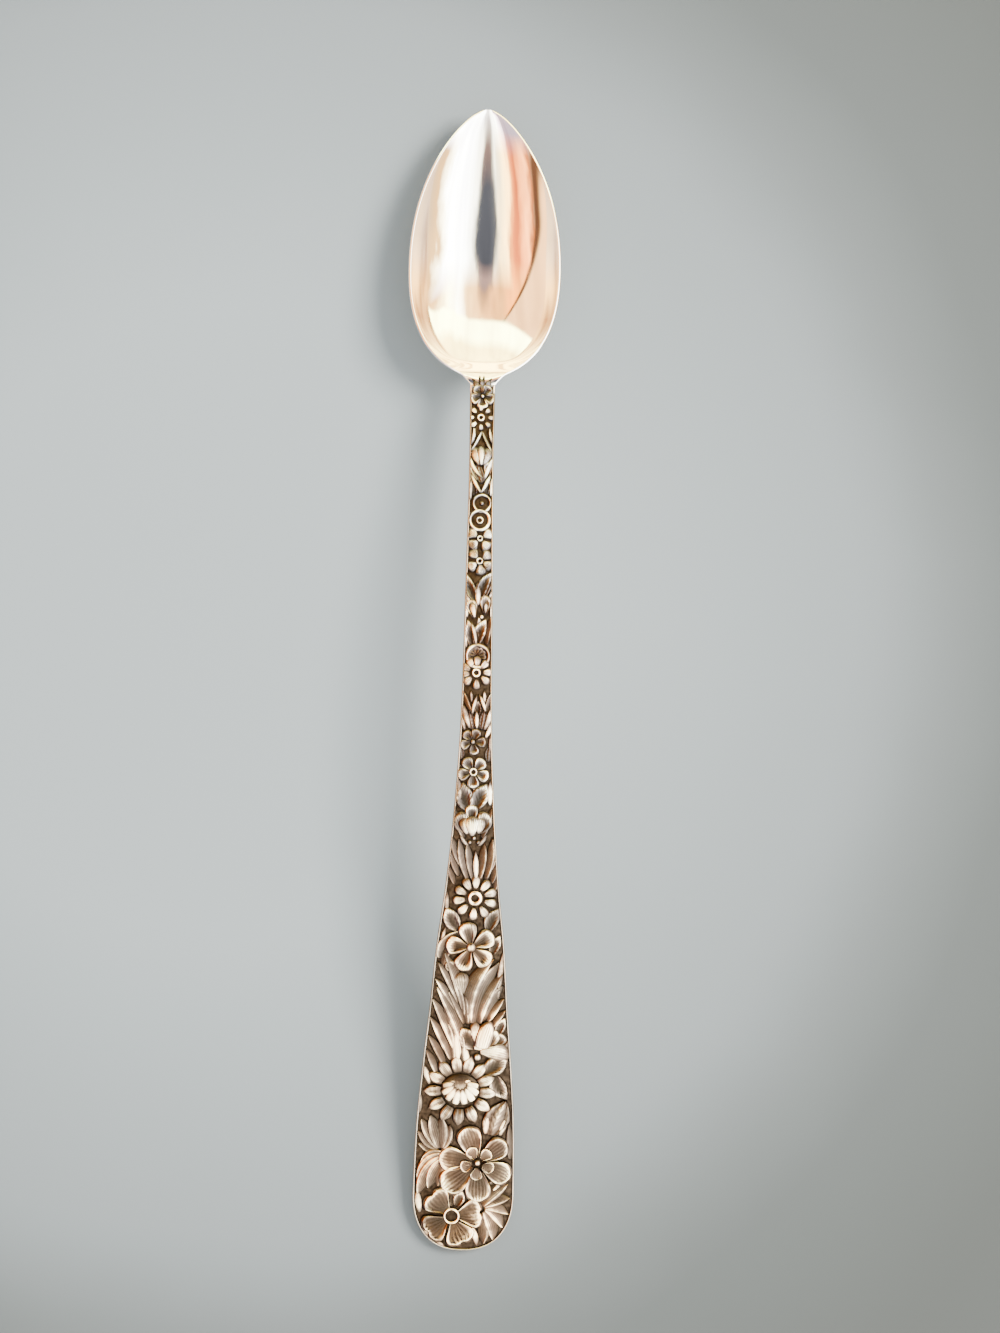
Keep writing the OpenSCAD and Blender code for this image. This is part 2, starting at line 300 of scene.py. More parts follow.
# %% Section across, drawn round its edge
ACROSS, LIP_POINTS = 28, 4
LIP_TURN, LIP_SWELL = 70, 1.06


def section(y, half, lip, top_z, under_z):
    top = [-math.cos(math.pi * i / ACROSS) for i in range(ACROSS + 1)]
    side = [math.radians(LIP_TURN - 2 * LIP_TURN * i / (LIP_POINTS - 1)) for i in range(LIP_POINTS)]
    reach = half - lip
    edge_z, low_z = top_z(1), under_z(1)
    middle, tall = (edge_z + low_z) / 2, (edge_z - low_z) / 2
    right = [(reach + lip * math.cos(a) * LIP_SWELL, y, middle + tall * math.sin(a)) for a in side]
    left = [(-x, y, z) for x, y, z in reversed(right)]
    return ([(reach * v, y, top_z(v)) for v in top] + right
            + [(-reach * v, y, under_z(-v)) for v in top] + left)


# %% Section of the handle
BELLY, EDGE = 0.8, 0.2
BELLY_POWER, BELLY_ROUND = 2.6, 0.55
LIP_SHARE = 0.3


def handle_section(u):
    thick = STEM_T + (HANDLE_T - STEM_T) * u
    half, rise = half_w(u), crown(u)

    def top(v):
        return front_z(u) - rise * v * v

    def under(v):
        fullness = max(1 - abs(v) ** BELLY_POWER, 0) ** BELLY_ROUND
        return front_z(u) - rise - (thick - rise) * fullness * BELLY - (thick - rise) * EDGE

    return section(handle_y(u), half, min(LIP / 2, half * LIP_SHARE), top, under)


print("points in a section", len(handle_section(0)))

# %% Section of the bowl
HEEL, STEP = 0.78, 0.002
TIP_LIP_SHARE, SIDE_SHARE, WALL_POWER = 0.45, 0.3, 4


def bowl_section(t):
    y = TIP_Y - BOWL_L * t
    half = bowl_half(t)
    slant = (bowl_half(t + STEP) - bowl_half(max(t - STEP, 0))) / (2 * STEP * BOWL_L)
    lip = min(LIP * math.hypot(1, slant), half * TIP_LIP_SHARE)
    thicker = ease((t - HEEL) / (1 - HEEL))
    middle = BOWL_WALL + (STEM_T - BOWL_WALL) * thicker
    side = 2 * LIP + (middle - 2 * LIP) * thicker * SIDE_SHARE

    def top(v):
        return dish_top(t, v)

    def under(v):
        return max(top(v) - side - (middle - side) * (1 - v ** WALL_POWER), 0)

    ring = section(y, half, lip, top, under)
    blended = into_stem(t)
    if blended:
        stem = handle_section(0)
        ring = [mixed(p, (q[0] * half / (STEM_W / 2), y, q[2]), blended) for p, q in zip(ring, stem)]
    return ring


print("rim of the bowl at its middle", max(p[2] for p in bowl_section(PIVOT)))

# %% Sweep the bowl
BOWL_STEPS, FIRST_T = 76, 0.0003
crowded = [(1 - math.cos(math.pi * k / BOWL_STEPS)) / 2 for k in range(BOWL_STEPS + 1)]
bowl_ts = [FIRST_T + (1 - FIRST_T) * q for q in crowded]
bowl = sweep("bowl_shell", [bowl_section(t) for t in bowl_ts])
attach(bowl, "root")
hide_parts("bowl")

# %% [markdown]
# The neck, stem and handle are one bar that arches up from the bowl and comes down to the table at its round
# end. They are swept in the same way, with the rings crowding together where the end rounds off.

# %% Sweep the neck, stem and handle
NECK_U, STEM_U = 0.05, 0.46
ROUND_U = 1 - ROUND_L / HANDLE_L
ROUND_STEPS = 20


def run(first, last, steps):
    return [first + (last - first) * k / steps for k in range(steps + 1)]


round_run = [ROUND_U + (END_U - ROUND_U) * math.sin(math.pi / 2 * k / ROUND_STEPS)
             for k in range(1, ROUND_STEPS + 1)]


def set_down(ring):
    return [(x, y, max(z, 0)) for x, y, z in ring]


BAR_RUNS = [
    ("neck_bar", "neck", run(0, NECK_U, 8)),
    ("stem_bar", "stem", run(NECK_U, STEM_U, 48)),
    ("handle_bar", "handle", run(STEM_U, ROUND_U, 56) + round_run)]
bars = []
for name, node, us in BAR_RUNS:
    bar = sweep(name, [set_down(handle_section(u)) for u in us])
    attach(bar, "root")
    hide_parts(node)
    bars.append(bar)

# %% [markdown]
# A thin plain border stands up along both edges and round the end, as the die leaves it. Its section is a
# small rounded bead, swept along the outline just inside the edge.

# %% Sweep the border
BORDER_W, BORDER_H = 0.4 * MM, 0.36 * MM
BORDER_FROM, BORDER_STEPS = 0.01, 110
BEAD = [(0, -0.4), (0.02, 0.5), (0.25, 0.92), (0.5, 1), (0.75, 0.85), (1, 0.1), (1, -0.4)]


def outline_points():
    us = run(BORDER_FROM, ROUND_U, BORDER_STEPS) + round_run
    left = [(-half_w(u), handle_y(u)) for u in us]
    return left + [(-x, y) for x, y in reversed(left)]


def border_rings():
    path = outline_points()
    rings = []
    for i, (x, y) in enumerate(path):
        ax, ay = path[max(i - 1, 0)]
        bx, by = path[min(i + 1, len(path) - 1)]
        far = math.hypot(bx - ax, by - ay)
        nx, ny = -(by - ay) / far, (bx - ax) / far
        ring = []
        for share, height in BEAD:
            px, py = x + nx * BORDER_W * share, y + ny * BORDER_W * share
            ring.append((px, py, ground(px, py) + BORDER_H * height))
        rings.append(ring)
    return rings


border = sweep("raised_border", border_rings())
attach(border, "root")
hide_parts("border")

# %% [markdown]
# The flowers and leaves are struck in relief. A few shapes are modelled once, flat and one unit long: cupped
# petals with a raised rim, full petals, leaves with a midrib and slender blades with one high edge. Each
# begins as a grid that is drawn in to an outline, hollowed or crowned, and given a skirt down to the ground.
# A flat face closes it from below, so it is a solid lump of silver and not a thin shell. In the formulas a
# runs across the shape from -1 to 1, and b runs from 0 at its foot to 1 at its tip.

# %% Tools for the unit shapes
UNITS = {}


def read_off(table, place):
    for (a, low), (b, high) in zip(table, table[1:]):
        if place <= b:
            return low + (high - low) * (place - a) / (b - a)
    return table[-1][1]


def keep_unit(piece, name, levels):
    finish(piece, "unit_" + name, levels)
    UNITS[name] = piece
    print(name, len(piece.data.polygons), "faces")


# %% Make a shape from a grid
COLS, ROWS = 8, 10
CROWD_ACROSS, CROWD_ALONG = 0.75, 1.5
SKIRT_Z, SKIRT_WIDER, SKIRT_LONGER = -0.1, 1.05, 1.02


def close_under(piece):
    edit(piece)
    select(piece, lambda v: v.is_boundary)
    bpy.ops.mesh.mark_sharp()
    bpy.ops.mesh.edge_face_add()
    bpy.ops.object.mode_set(mode="OBJECT")


def grid_unit(name, outline, height, vein, finer=1):
    start_clean()
    bpy.ops.mesh.primitive_grid_add(x_subdivisions=COLS * finer, y_subdivisions=ROWS * finer, size=1)
    piece = bpy.context.object
    edit(piece)
    mesh = bmesh.from_edit_mesh(piece.data)
    veins = mesh.verts.layers.float.new("vein")
    for v in mesh.verts:
        a = math.copysign(abs(v.co.x * 2) ** CROWD_ACROSS, v.co.x)
        b = 1 - (0.5 - v.co.y) ** CROWD_ALONG
        x, y = outline(a, b)
        v.co = (x, y, height(a, b))
        v[veins] = vein(a, b)
    for v in mesh.verts:
        v.select_set(v.is_boundary)
    for e in mesh.edges:
        e.select_set(e.is_boundary)
    bmesh.update_edit_mesh(piece.data)
    bpy.ops.mesh.extrude_edges_move()
    mesh = bmesh.from_edit_mesh(piece.data)
    for v in mesh.verts:
        if v.select:
            v.co = (v.co.x * SKIRT_WIDER, 0.5 + (v.co.y - 0.5) * SKIRT_LONGER, SKIRT_Z)
    bmesh.update_edit_mesh(piece.data)
    bpy.ops.mesh.select_all(action="SELECT")
    bpy.ops.mesh.normals_make_consistent(inside=False)
    keep_unit(piece, name, 1)
    close_under(piece)


# %% [markdown]
# A petal is a height over its outline. Its heights are read off a short profile by the way out from the
# middle of the petal, and the whole petal sinks a little towards its foot, where it meets the flower's
# middle. Veins are lines of one number over the petal: straight rays, or chevrons on a leaf.

# %% Heights of petals
HEART_OF_PETAL, FOOT_LENGTH = 0.4, 0.3
CREASE_W, CREASE_FADE = 0.28, 1.6
BRIM_POWER = 0.7
FULL_PROFILE = [(0, 1), (0.42, 0.98), (0.68, 0.9), (0.86, 0.77), (1, 0.5), (2, 0.4)]


def way_out(a, b):
    along = max(b - HEART_OF_PETAL, 0) / (1 - HEART_OF_PETAL)
    return (abs(a) ** 3 + along ** 3) ** (1 / 3)


def sunk(foot, b):
    return foot + (1 - foot) * min(b / FOOT_LENGTH, 1)


def cupped(middle, rim=1.0, foot=0.75):
    profile = [(0, middle), (0.36, middle + 0.06), (0.58, rim * 0.86), (0.72, rim), (0.88, rim * 0.96),
               (1, 0.6), (2, 0.4)]

    def height(a, b):
        return read_off(profile, way_out(a, b)) * sunk(foot, b)
    return height


def dished(foot, brim):
    def height(a, b):
        floor = foot + (brim - foot) * b ** BRIM_POWER
        profile = [(0, floor), (0.74, floor + 0.05), (0.85, 0.92), (0.91, 1), (1, 0.58), (2, 0.4)]
        return read_off(profile, way_out(a, b))
    return height


def full(crease, foot=0.85):
    def height(a, b):
        furrow = crease * math.exp(-(a / CREASE_W) ** 2) * min(1, CREASE_FADE * (1 - b))
        return (read_off(FULL_PROFILE, way_out(a, b)) - furrow) * sunk(foot, b)
    return height


print("a full petal's heights", [round(full(crease=0.12)(0, b / 4), 2) for b in range(5)])

# %% Heights and veins of leaves
RIB_PROFILE = [(0, 1), (0.2, 0.72), (0.55, 0.5), (0.82, 0.92), (1, 0.62)]
EDGE_PROFILE = [(-1, 0.3), (-0.5, 0.55), (0.3, 0.82), (0.7, 1), (1, 0.5)]
LEAF_FOOT, LEAF_FOOT_LENGTH = 0.8, 0.2
CHEVRON_STEP, CHEVRON_SLANT = 1.6, 0.7
STROKE_H = 0.1


def ribbed(a, b):
    return read_off(RIB_PROFILE, abs(a)) * (LEAF_FOOT + (1 - LEAF_FOOT) * min(b / LEAF_FOOT_LENGTH, 1))


def one_edge(side):
    def height(a, b):
        return read_off(EDGE_PROFILE, side * a)
    return height


def flat_stroke(a, b):
    return STROKE_H


def ray(a, b):
    return a


def chevron(a, b):
    return CHEVRON_STEP * b - CHEVRON_SLANT * abs(a)


# %% Outlines of petals and leaves
ROUND_W = [(0, 0.1), (0.12, 0.17), (0.3, 0.3), (0.5, 0.41), (0.7, 0.45), (0.85, 0.39),
           (0.94, 0.27), (1, 0.09)]
BROAD_W = [(0, 0.12), (0.15, 0.24), (0.35, 0.4), (0.55, 0.5), (0.72, 0.53), (0.85, 0.47),
           (0.94, 0.33), (1, 0.12)]
HEART_W = [(0, 0.12), (0.2, 0.26), (0.45, 0.44), (0.65, 0.52), (0.82, 0.48), (0.93, 0.36), (1, 0.2)]
RAY_W = [(0, 0.2), (0.2, 0.26), (0.45, 0.3), (0.65, 0.27), (0.8, 0.19), (0.92, 0.09), (1, 0.01)]
DAISY_W = [(0, 0.08), (0.2, 0.14), (0.45, 0.2), (0.7, 0.22), (0.85, 0.19), (0.95, 0.11), (1, 0.04)]
LEAF_W = [(0, 0.06), (0.15, 0.17), (0.35, 0.25), (0.55, 0.25), (0.75, 0.18), (0.9, 0.09), (1, 0.02)]
RIB_W = [(0, 0.2), (0.3, 0.24), (0.6, 0.24), (0.8, 0.19), (0.93, 0.1), (1, 0.03)]
BLADE_W = [(0, 0.05), (0.2, 0.11), (0.5, 0.14), (0.75, 0.11), (0.92, 0.05), (1, 0.01)]
NOTCH, NOTCH_W = 0.12, 0.4


def widths(table):
    def outline(a, b):
        return a * read_off(table, b), b
    return outline


def heart_outline(a, b):
    notch = NOTCH * math.exp(-(a / NOTCH_W) ** 2) * max(b - HEART_OF_PETAL, 0) / (1 - HEART_OF_PETAL)
    return a * read_off(HEART_W, b), b - notch


print("a leaf is", 2 * max(w for b, w in LEAF_W), "of its length wide")

# %% Model the unit shapes
grid_unit("cup", widths(ROUND_W), cupped(middle=0.42), ray)
grid_unit("great_cup", widths(BROAD_W), dished(foot=0.34, brim=0.82), ray, finer=2)
grid_unit("deep", widths(ROUND_W), cupped(middle=0.26), ray)
grid_unit("heart", heart_outline, dished(foot=0.34, brim=0.82), ray, finer=2)
grid_unit("lobe", widths(ROUND_W), dished(foot=0.4, brim=0.78), ray, finer=2)
grid_unit("pad", widths(DAISY_W), full(crease=0.12), ray)
grid_unit("ray_petal", widths(RAY_W), full(crease=0.2, foot=0.55), ray)
grid_unit("tray", widths(DAISY_W), cupped(middle=0.62, rim=1, foot=0.5), ray)
grid_unit("plump", widths(ROUND_W), full(crease=0.05), ray)
grid_unit("rib", widths(RIB_W), full(crease=0.0, foot=0.9), ray)
grid_unit("leaf", widths(LEAF_W), ribbed, chevron)
grid_unit("hollow_leaf", widths(LEAF_W), cupped(middle=0.34), chevron)
grid_unit("blade", widths(BLADE_W), full(crease=0.0, foot=0.9), ray)
grid_unit("stroke", widths(BLADE_W), flat_stroke, ray)
grid_unit("left_edge", widths(BLADE_W), one_edge(side=-1), ray)
grid_unit("right_edge", widths(BLADE_W), one_edge(side=1), ray)

# %% Model the ring and the dome
DOME_CUT = -0.2


def ring_unit(name, middle, thick, taller):
    start_clean()
    bpy.ops.mesh.primitive_torus_add(
        major_segments=24, minor_segments=8, major_radius=middle, minor_radius=thick)
    piece = bpy.context.object
    edit(piece)
    bpy.ops.mesh.select_all(action="SELECT")
    bpy.ops.transform.resize(value=(1, 1, taller), center_override=(0, 0, 0))
    bpy.ops.transform.translate(value=(0, 0, 1 - thick * taller))
    keep_unit(piece, name, 0)


ring_unit("ring", middle=0.72, thick=0.27, taller=2)
ring_unit("hoop", middle=0.82, thick=0.17, taller=4)
start_clean()
bpy.ops.mesh.primitive_uv_sphere_add(segments=20, ring_count=12, radius=1)
dome_unit = bpy.context.object
edit(dome_unit)
bpy.ops.mesh.select_all(action="SELECT")
bpy.ops.mesh.bisect(plane_co=(0, 0, DOME_CUT), plane_no=(0, 0, 1), clear_inner=True, use_fill=True)
keep_unit(dome_unit, "dome", 0)

# %% [markdown]
# A placed shape is a copy with its own mesh. It is stretched from its foot to its tip, bent if it is a leaf,
# and laid on the handle: every point keeps its height above the ground under it. A number on each point
# remembers how high it stands in its own petal, and the silver's finish reads it, dark in the hollows and
# bright on the rims. Places are given as (distance from the bowl's tip, distance to the right) in mm.
# Widths and heights are factors on the unit shape, a lift is in shares of the relief's height, and a bend
# is the turn in degrees from the tip back to the foot.

# %% Lay a shape on the handle
RELIEF = 0.56 * MM
LOCAL, OVERALL = 0.88, 0.2
CLEAR_OF_BORDER = 0.7
groups = {}


def lay(group, unit, foot, tip, width=1.0, height=0.8, lift=0.0, bend=0.0):
    piece = UNITS[unit].copy()
    piece.data = UNITS[unit].data.copy()
    bpy.context.collection.objects.link(piece)
    along = mathutils.Vector((tip[1] - foot[1], foot[0] - tip[0])) * MM
    size = along.length
    turn = math.atan2(along.x, along.y)
    tones = piece.data.attributes.new("relief", "FLOAT", "POINT")
    for v, tone in zip(piece.data.vertices, tones.data):
        a, b, h = v.co.x * width, v.co.y, v.co.z
        way = turn + math.radians(bend * (b - 1))
        x = foot[1] * MM + size * (a * math.cos(way) + b * math.sin(way))
        y = TIP_Y - foot[0] * MM + size * (b * math.cos(way) - a * math.sin(way))
        if y < TIP_Y - BOWL_L:
            edge = half_w(u_at(y)) - BORDER_W * CLEAR_OF_BORDER
            x = min(max(x, -edge), edge)
        tone.value = LOCAL * h + OVERALL * (lift + height * h) - OVERALL / 2
        v.co = (x, y, ground(x, y) + RELIEF * (lift + height * h))
    groups.setdefault(group, []).append(piece)


def spot(group, unit, place, r, height=0.6, lift=0.2):
    lay(group, unit, place, (place[0] - r, place[1]), width=1, height=height, lift=lift)


# %% Lay a flower
STAGGER, MIDDLE_H, MIDDLE_LIFT = 0.04, 0.6, 0.25


def off(place, turn, r_along, r_across):
    angle = math.radians(turn)
    return place[0] - r_along * math.cos(angle), place[1] + r_across * math.sin(angle)


def flower(group, unit, place, r, turns, width=1.0,
           middle="ring", share=0.34, height=0.8, lift=0.1, foot=0.16):
    for k, turn in enumerate(turns):
        near, tip = off(place, turn, foot * r, foot * r), off(place, turn, r, r)
        lay(group, unit, near, tip, width=width, height=height, lift=lift + STAGGER * (k % 2))
    if middle:
        spot(group, middle, place, r * share, height=MIDDLE_H, lift=lift + MIDDLE_LIFT)


def even(count, turn=0.0):
    return [turn + 360 * k / count for k in range(count)]


def lay_all(group, rows):
    for unit, foot, tip, width, height, lift, bend in rows:
        lay(group, unit, foot, tip, width, height, lift, bend)


# %% [markdown]
# The stem is only about four millimetres wide, so its ornament is a single file: small flowers one after
# another with pairs of leaves, a tulip bud and two bell buds between them. Each row of a table below is one
# shape: its name, foot, tip, width, height, lift and bend.

# %% Lay the flowers and buds of the stem
REGION = "stem_flowers"
flower(REGION, "deep", (48.1, 0.0), 2.1, even(5, 36), width=1.3, middle="dome", share=0.17)
flower(REGION, "pad", (51.7, -0.2), 2.15, even(8), width=1.9,
       middle="ring", share=0.3, height=0.8, lift=0.15, foot=0.5)
spot(REGION, "hoop", (65.9, 0.2), 1.7, height=0.8, lift=0.05)
spot(REGION, "dome", (65.9, 0.2), 0.42, height=0.6, lift=0.1)
spot(REGION, "hoop", (68.7, -0.1), 1.95, height=0.9, lift=0.1)
spot(REGION, "ring", (68.7, -0.1), 0.66, height=0.5, lift=0.1)
flower(REGION, "plump", (71.7, 0.0), 2.3, [-58, 60, 139, 228], width=1.4,
       middle="ring", share=0.22, height=0.8, lift=0.1, foot=0.25)
flower(REGION, "plump", (75.4, 0.0), 2.3, [-40, 50, 116, 172, 236], width=1.25,
       middle="ring", share=0.26, height=0.8, lift=0.1, foot=0.25)
flower(REGION, "pad", (93.6, -0.2), 2.75, [4, 44, 87, 128, 178, 226, 262, 295, 328], width=1.9,
       middle="ring", share=0.28, height=0.85, lift=0.2, foot=0.38)
flower(REGION, "cup", (104.8, -0.5), 2.2, [-42, 20, 92, 172, 250], width=1.1, middle="dome", share=0.2)
flower(REGION, "cup", (109.7, -0.3), 2.7, [-34, 40, 110, 180, 256], width=1.1,
       middle="ring", share=0.26, height=0.85, lift=0.15)
REGION = "stem_buds"
lay_all(REGION, [
    ("plump", (59.6, -0.3), (56.6, -1.2), 0.6, 0.75, 0.3, 14),
    ("plump", (59.6, 0.3), (56.7, 1.2), 0.6, 0.75, 0.3, -14),
    ("plump", (59.7, 0.0), (56.4, -0.1), 0.45, 0.8, 0.65, 0),
    ("cup", (61.5, 1.1), (59.0, 1.1), 0.75, 0.75, 0.1, 0),
    ("cup", (84.7, -0.6), (81.6, -1.6), 0.75, 0.75, 0.1, 0),
    ("plump", (84.7, -0.6), (82.1, -1.2), 0.5, 0.85, 0.3, 0),
    ("cup", (84.2, 1.1), (80.9, 1.0), 0.7, 0.8, 0.1, 0),
    ("pad", (83.9, 1.1), (82.1, 1.2), 0.8, 0.5, 0.5, 0)])
HALF_FLOWER, REACH, BETWEEN = (90.9, -0.2), 1.7, 32
for k in range(7):
    lay(REGION, "deep", HALF_FLOWER, off(HALF_FLOWER, BETWEEN * (k - 3), REACH, REACH), width=0.6,
        height=0.4 + 0.06 * (k % 2))
spot(REGION, "hoop", (90.9, 0.0), 2.2, height=0.8, lift=0.1)
spot(REGION, "dome", (84.5, 0.5), 0.4)

# %% Lay the leaves of the stem
REGION = "stem_leaves"
lay_all(REGION, [
    ("stroke", (46.0, -0.5), (44.6, -0.5), 1.1, 0.3, 0.16, 0),
    ("stroke", (46.0, 0.1), (44.6, 0.2), 1.1, 0.3, 0.16, 0),
    ("stroke", (46.2, -0.9), (45.1, -1.8), 1.1, 0.3, 0.16, 0),
    ("stroke", (46.2, 0.6), (45.0, 1.5), 1.1, 0.3, 0.16, 0),
    ("pad", (47.2, -0.1), (45.2, -0.2), 0.9, 0.6, 0, 0),
    ("pad", (47.2, -0.4), (45.6, -1.4), 1.2, 0.55, 0, 0),
    ("pad", (47.2, 0.2), (45.5, 1.2), 1.2, 0.55, 0, 0),
    ("hollow_leaf", (47.4, -0.7), (46.4, -2.1), 1.3, 0.6, 0, 0),
    ("hollow_leaf", (47.4, 0.6), (46.2, 2.1), 1.3, 0.6, 0, 0),
    ("blade", (53.4, -1.3), (56.5, -1.9), 0.8, 0.9, 0.1, 16),
    ("blade", (53.4, 1.3), (56.4, 2.0), 0.8, 0.9, 0.1, -16),
    ("blade", (53.9, 0.0), (57.6, -2.0), 0.5, 0.9, 0.1, 8),
    ("blade", (53.9, 0.0), (58.0, 2.1), 0.5, 0.9, 0.1, -8),
    ("blade", (57.8, -2.0), (62.0, 0.6), 0.6, 0.85, 0.1, -26),
    ("blade", (57.9, 2.3), (62.4, 0.5), 0.7, 0.8, 0.1, -12),
    ("left_edge", (62.1, -0.5), (58.8, -1.8), 1.5, 0.8, 0, 10),
    ("leaf", (62.7, 0.2), (59.1, -0.7), 0.8, 0.75, 0, 6),
    ("blade", (64.2, 0.0), (60.8, -1.8), 0.8, 0.95, 0.1, 6),
    ("blade", (64.2, 0.0), (61.0, 1.6), 0.8, 0.95, 0.1, -6),
    ("hollow_leaf", (64.7, 0.8), (61.7, 1.3), 0.8, 0.7, 0, 0),
    ("hollow_leaf", (64.7, -1.0), (61.8, -1.3), 0.8, 0.7, 0, 0),
    ("blade", (65.4, -1.7), (61.6, -1.6), 0.8, 0.9, 0.1, 4),
    ("blade", (64.8, 1.6), (61.4, 1.8), 0.8, 0.9, 0.1, -4),
    ("hollow_leaf", (82.4, -0.2), (77.2, -2.3), 0.7, 0.9, 0.1, 12),
    ("left_edge", (81.8, -1.1), (78.9, -2.1), 1.3, 0.8, 0, 8),
    ("blade", (82.5, -1.5), (79.9, -2.3), 1.2, 0.75, 0, 0),
    ("hollow_leaf", (82.1, 0.2), (77.0, 2.3), 0.75, 0.9, 0.1, 26),
    ("right_edge", (81.3, 1.0), (78.4, 2.4), 1.3, 0.8, 0, 20),
    ("blade", (81.4, 1.7), (79.8, 2.5), 1.5, 0.7, 0, 0),
    ("blade", (82.7, -0.1), (78.8, -0.3), 1.1, 0.85, 0.1, 0),
    ("blade", (84.7, 2.1), (81.4, 2.3), 1.1, 0.7, 0, 0),
    ("blade", (84.7, -1.9), (81.8, -2.2), 1.1, 0.7, 0, 0),
    ("hollow_leaf", (89.6, -0.9), (84.9, -1.8), 0.85, 0.8, 0, -4),
    ("blade", (89.6, -1.9), (85.4, -2.4), 0.8, 0.7, 0, 0),
    ("hollow_leaf", (89.3, -0.3), (84.8, 1.3), 0.95, 0.85, 0.1, 16),
    ("blade", (89.1, -0.3), (85.2, -1.3), 0.8, 0.9, 0.15, -8),
    ("right_edge", (89.1, 1.3), (84.5, 2.0), 1.1, 0.85, 0, 6),
    ("hollow_leaf", (88.6, 0.5), (84.4, 0.0), 0.5, 0.6, 0, 0)])
lay_all(REGION, [
    ("right_edge", (100.0, -0.8), (96.5, -2.3), 0.9, 0.9, 0.1, 10),
    ("blade", (100.3, -0.7), (97.1, 0.1), 0.9, 0.95, 0.1, 6),
    ("blade", (99.9, 1.5), (97.0, 0.3), 0.9, 0.95, 0.1, -6),
    ("left_edge", (99.6, 1.5), (96.7, 2.6), 1.0, 0.9, 0.1, 10),
    ("blade", (98.4, -0.8), (96.4, -1.0), 1.2, 0.7, 0, 0),
    ("blade", (98.6, 1.3), (96.4, 1.2), 1.2, 0.7, 0, 0),
    ("hollow_leaf", (100.6, 0.2), (98.0, 0.2), 1.0, 0.6, 0, 0),
    ("blade", (102.6, -1.0), (98.4, -2.4), 1.0, 0.85, 0, 6),
    ("blade", (102.9, -1.8), (100.0, -2.7), 1.1, 0.8, 0, 4),
    ("blade", (102.7, 0.1), (99.6, 0.0), 1.1, 0.95, 0.1, 0),
    ("leaf", (102.9, -0.5), (99.7, -1.2), 0.8, 0.75, 0, 4),
    ("leaf", (102.9, 0.8), (99.6, 1.3), 0.8, 0.75, 0, -4),
    ("blade", (102.9, 1.3), (98.9, 2.5), 1.0, 0.85, 0, -8),
    ("blade", (104.2, 1.5), (101.2, 2.7), 1.1, 0.85, 0, -6),
    ("blade", (106.4, 2.4), (103.8, 2.4), 1.3, 0.7, 0, 0),
    ("leaf", (107.8, -2.3), (105.4, -2.5), 1.0, 0.65, 0, 0),
    ("leaf", (108.1, 2.1), (105.4, 2.2), 1.0, 0.65, 0, 0),
    ("blade", (114.3, -2.4), (110.4, -2.9), 1.0, 0.85, 0, -6),
    ("blade", (115.2, 2.6), (111.0, 2.5), 1.0, 0.85, 0, 4),
    ("plump", (113.6, 0.1), (112.0, -0.1), 0.5, 0.5, 0, 0)])

# %% [markdown]
# Where the handle widens, the flowers grow with it: a rose seen from the side with berries under it, a fan
# of blades, an open daisy and a five-petal blossom, with lobed leaves reaching down to the broad end.

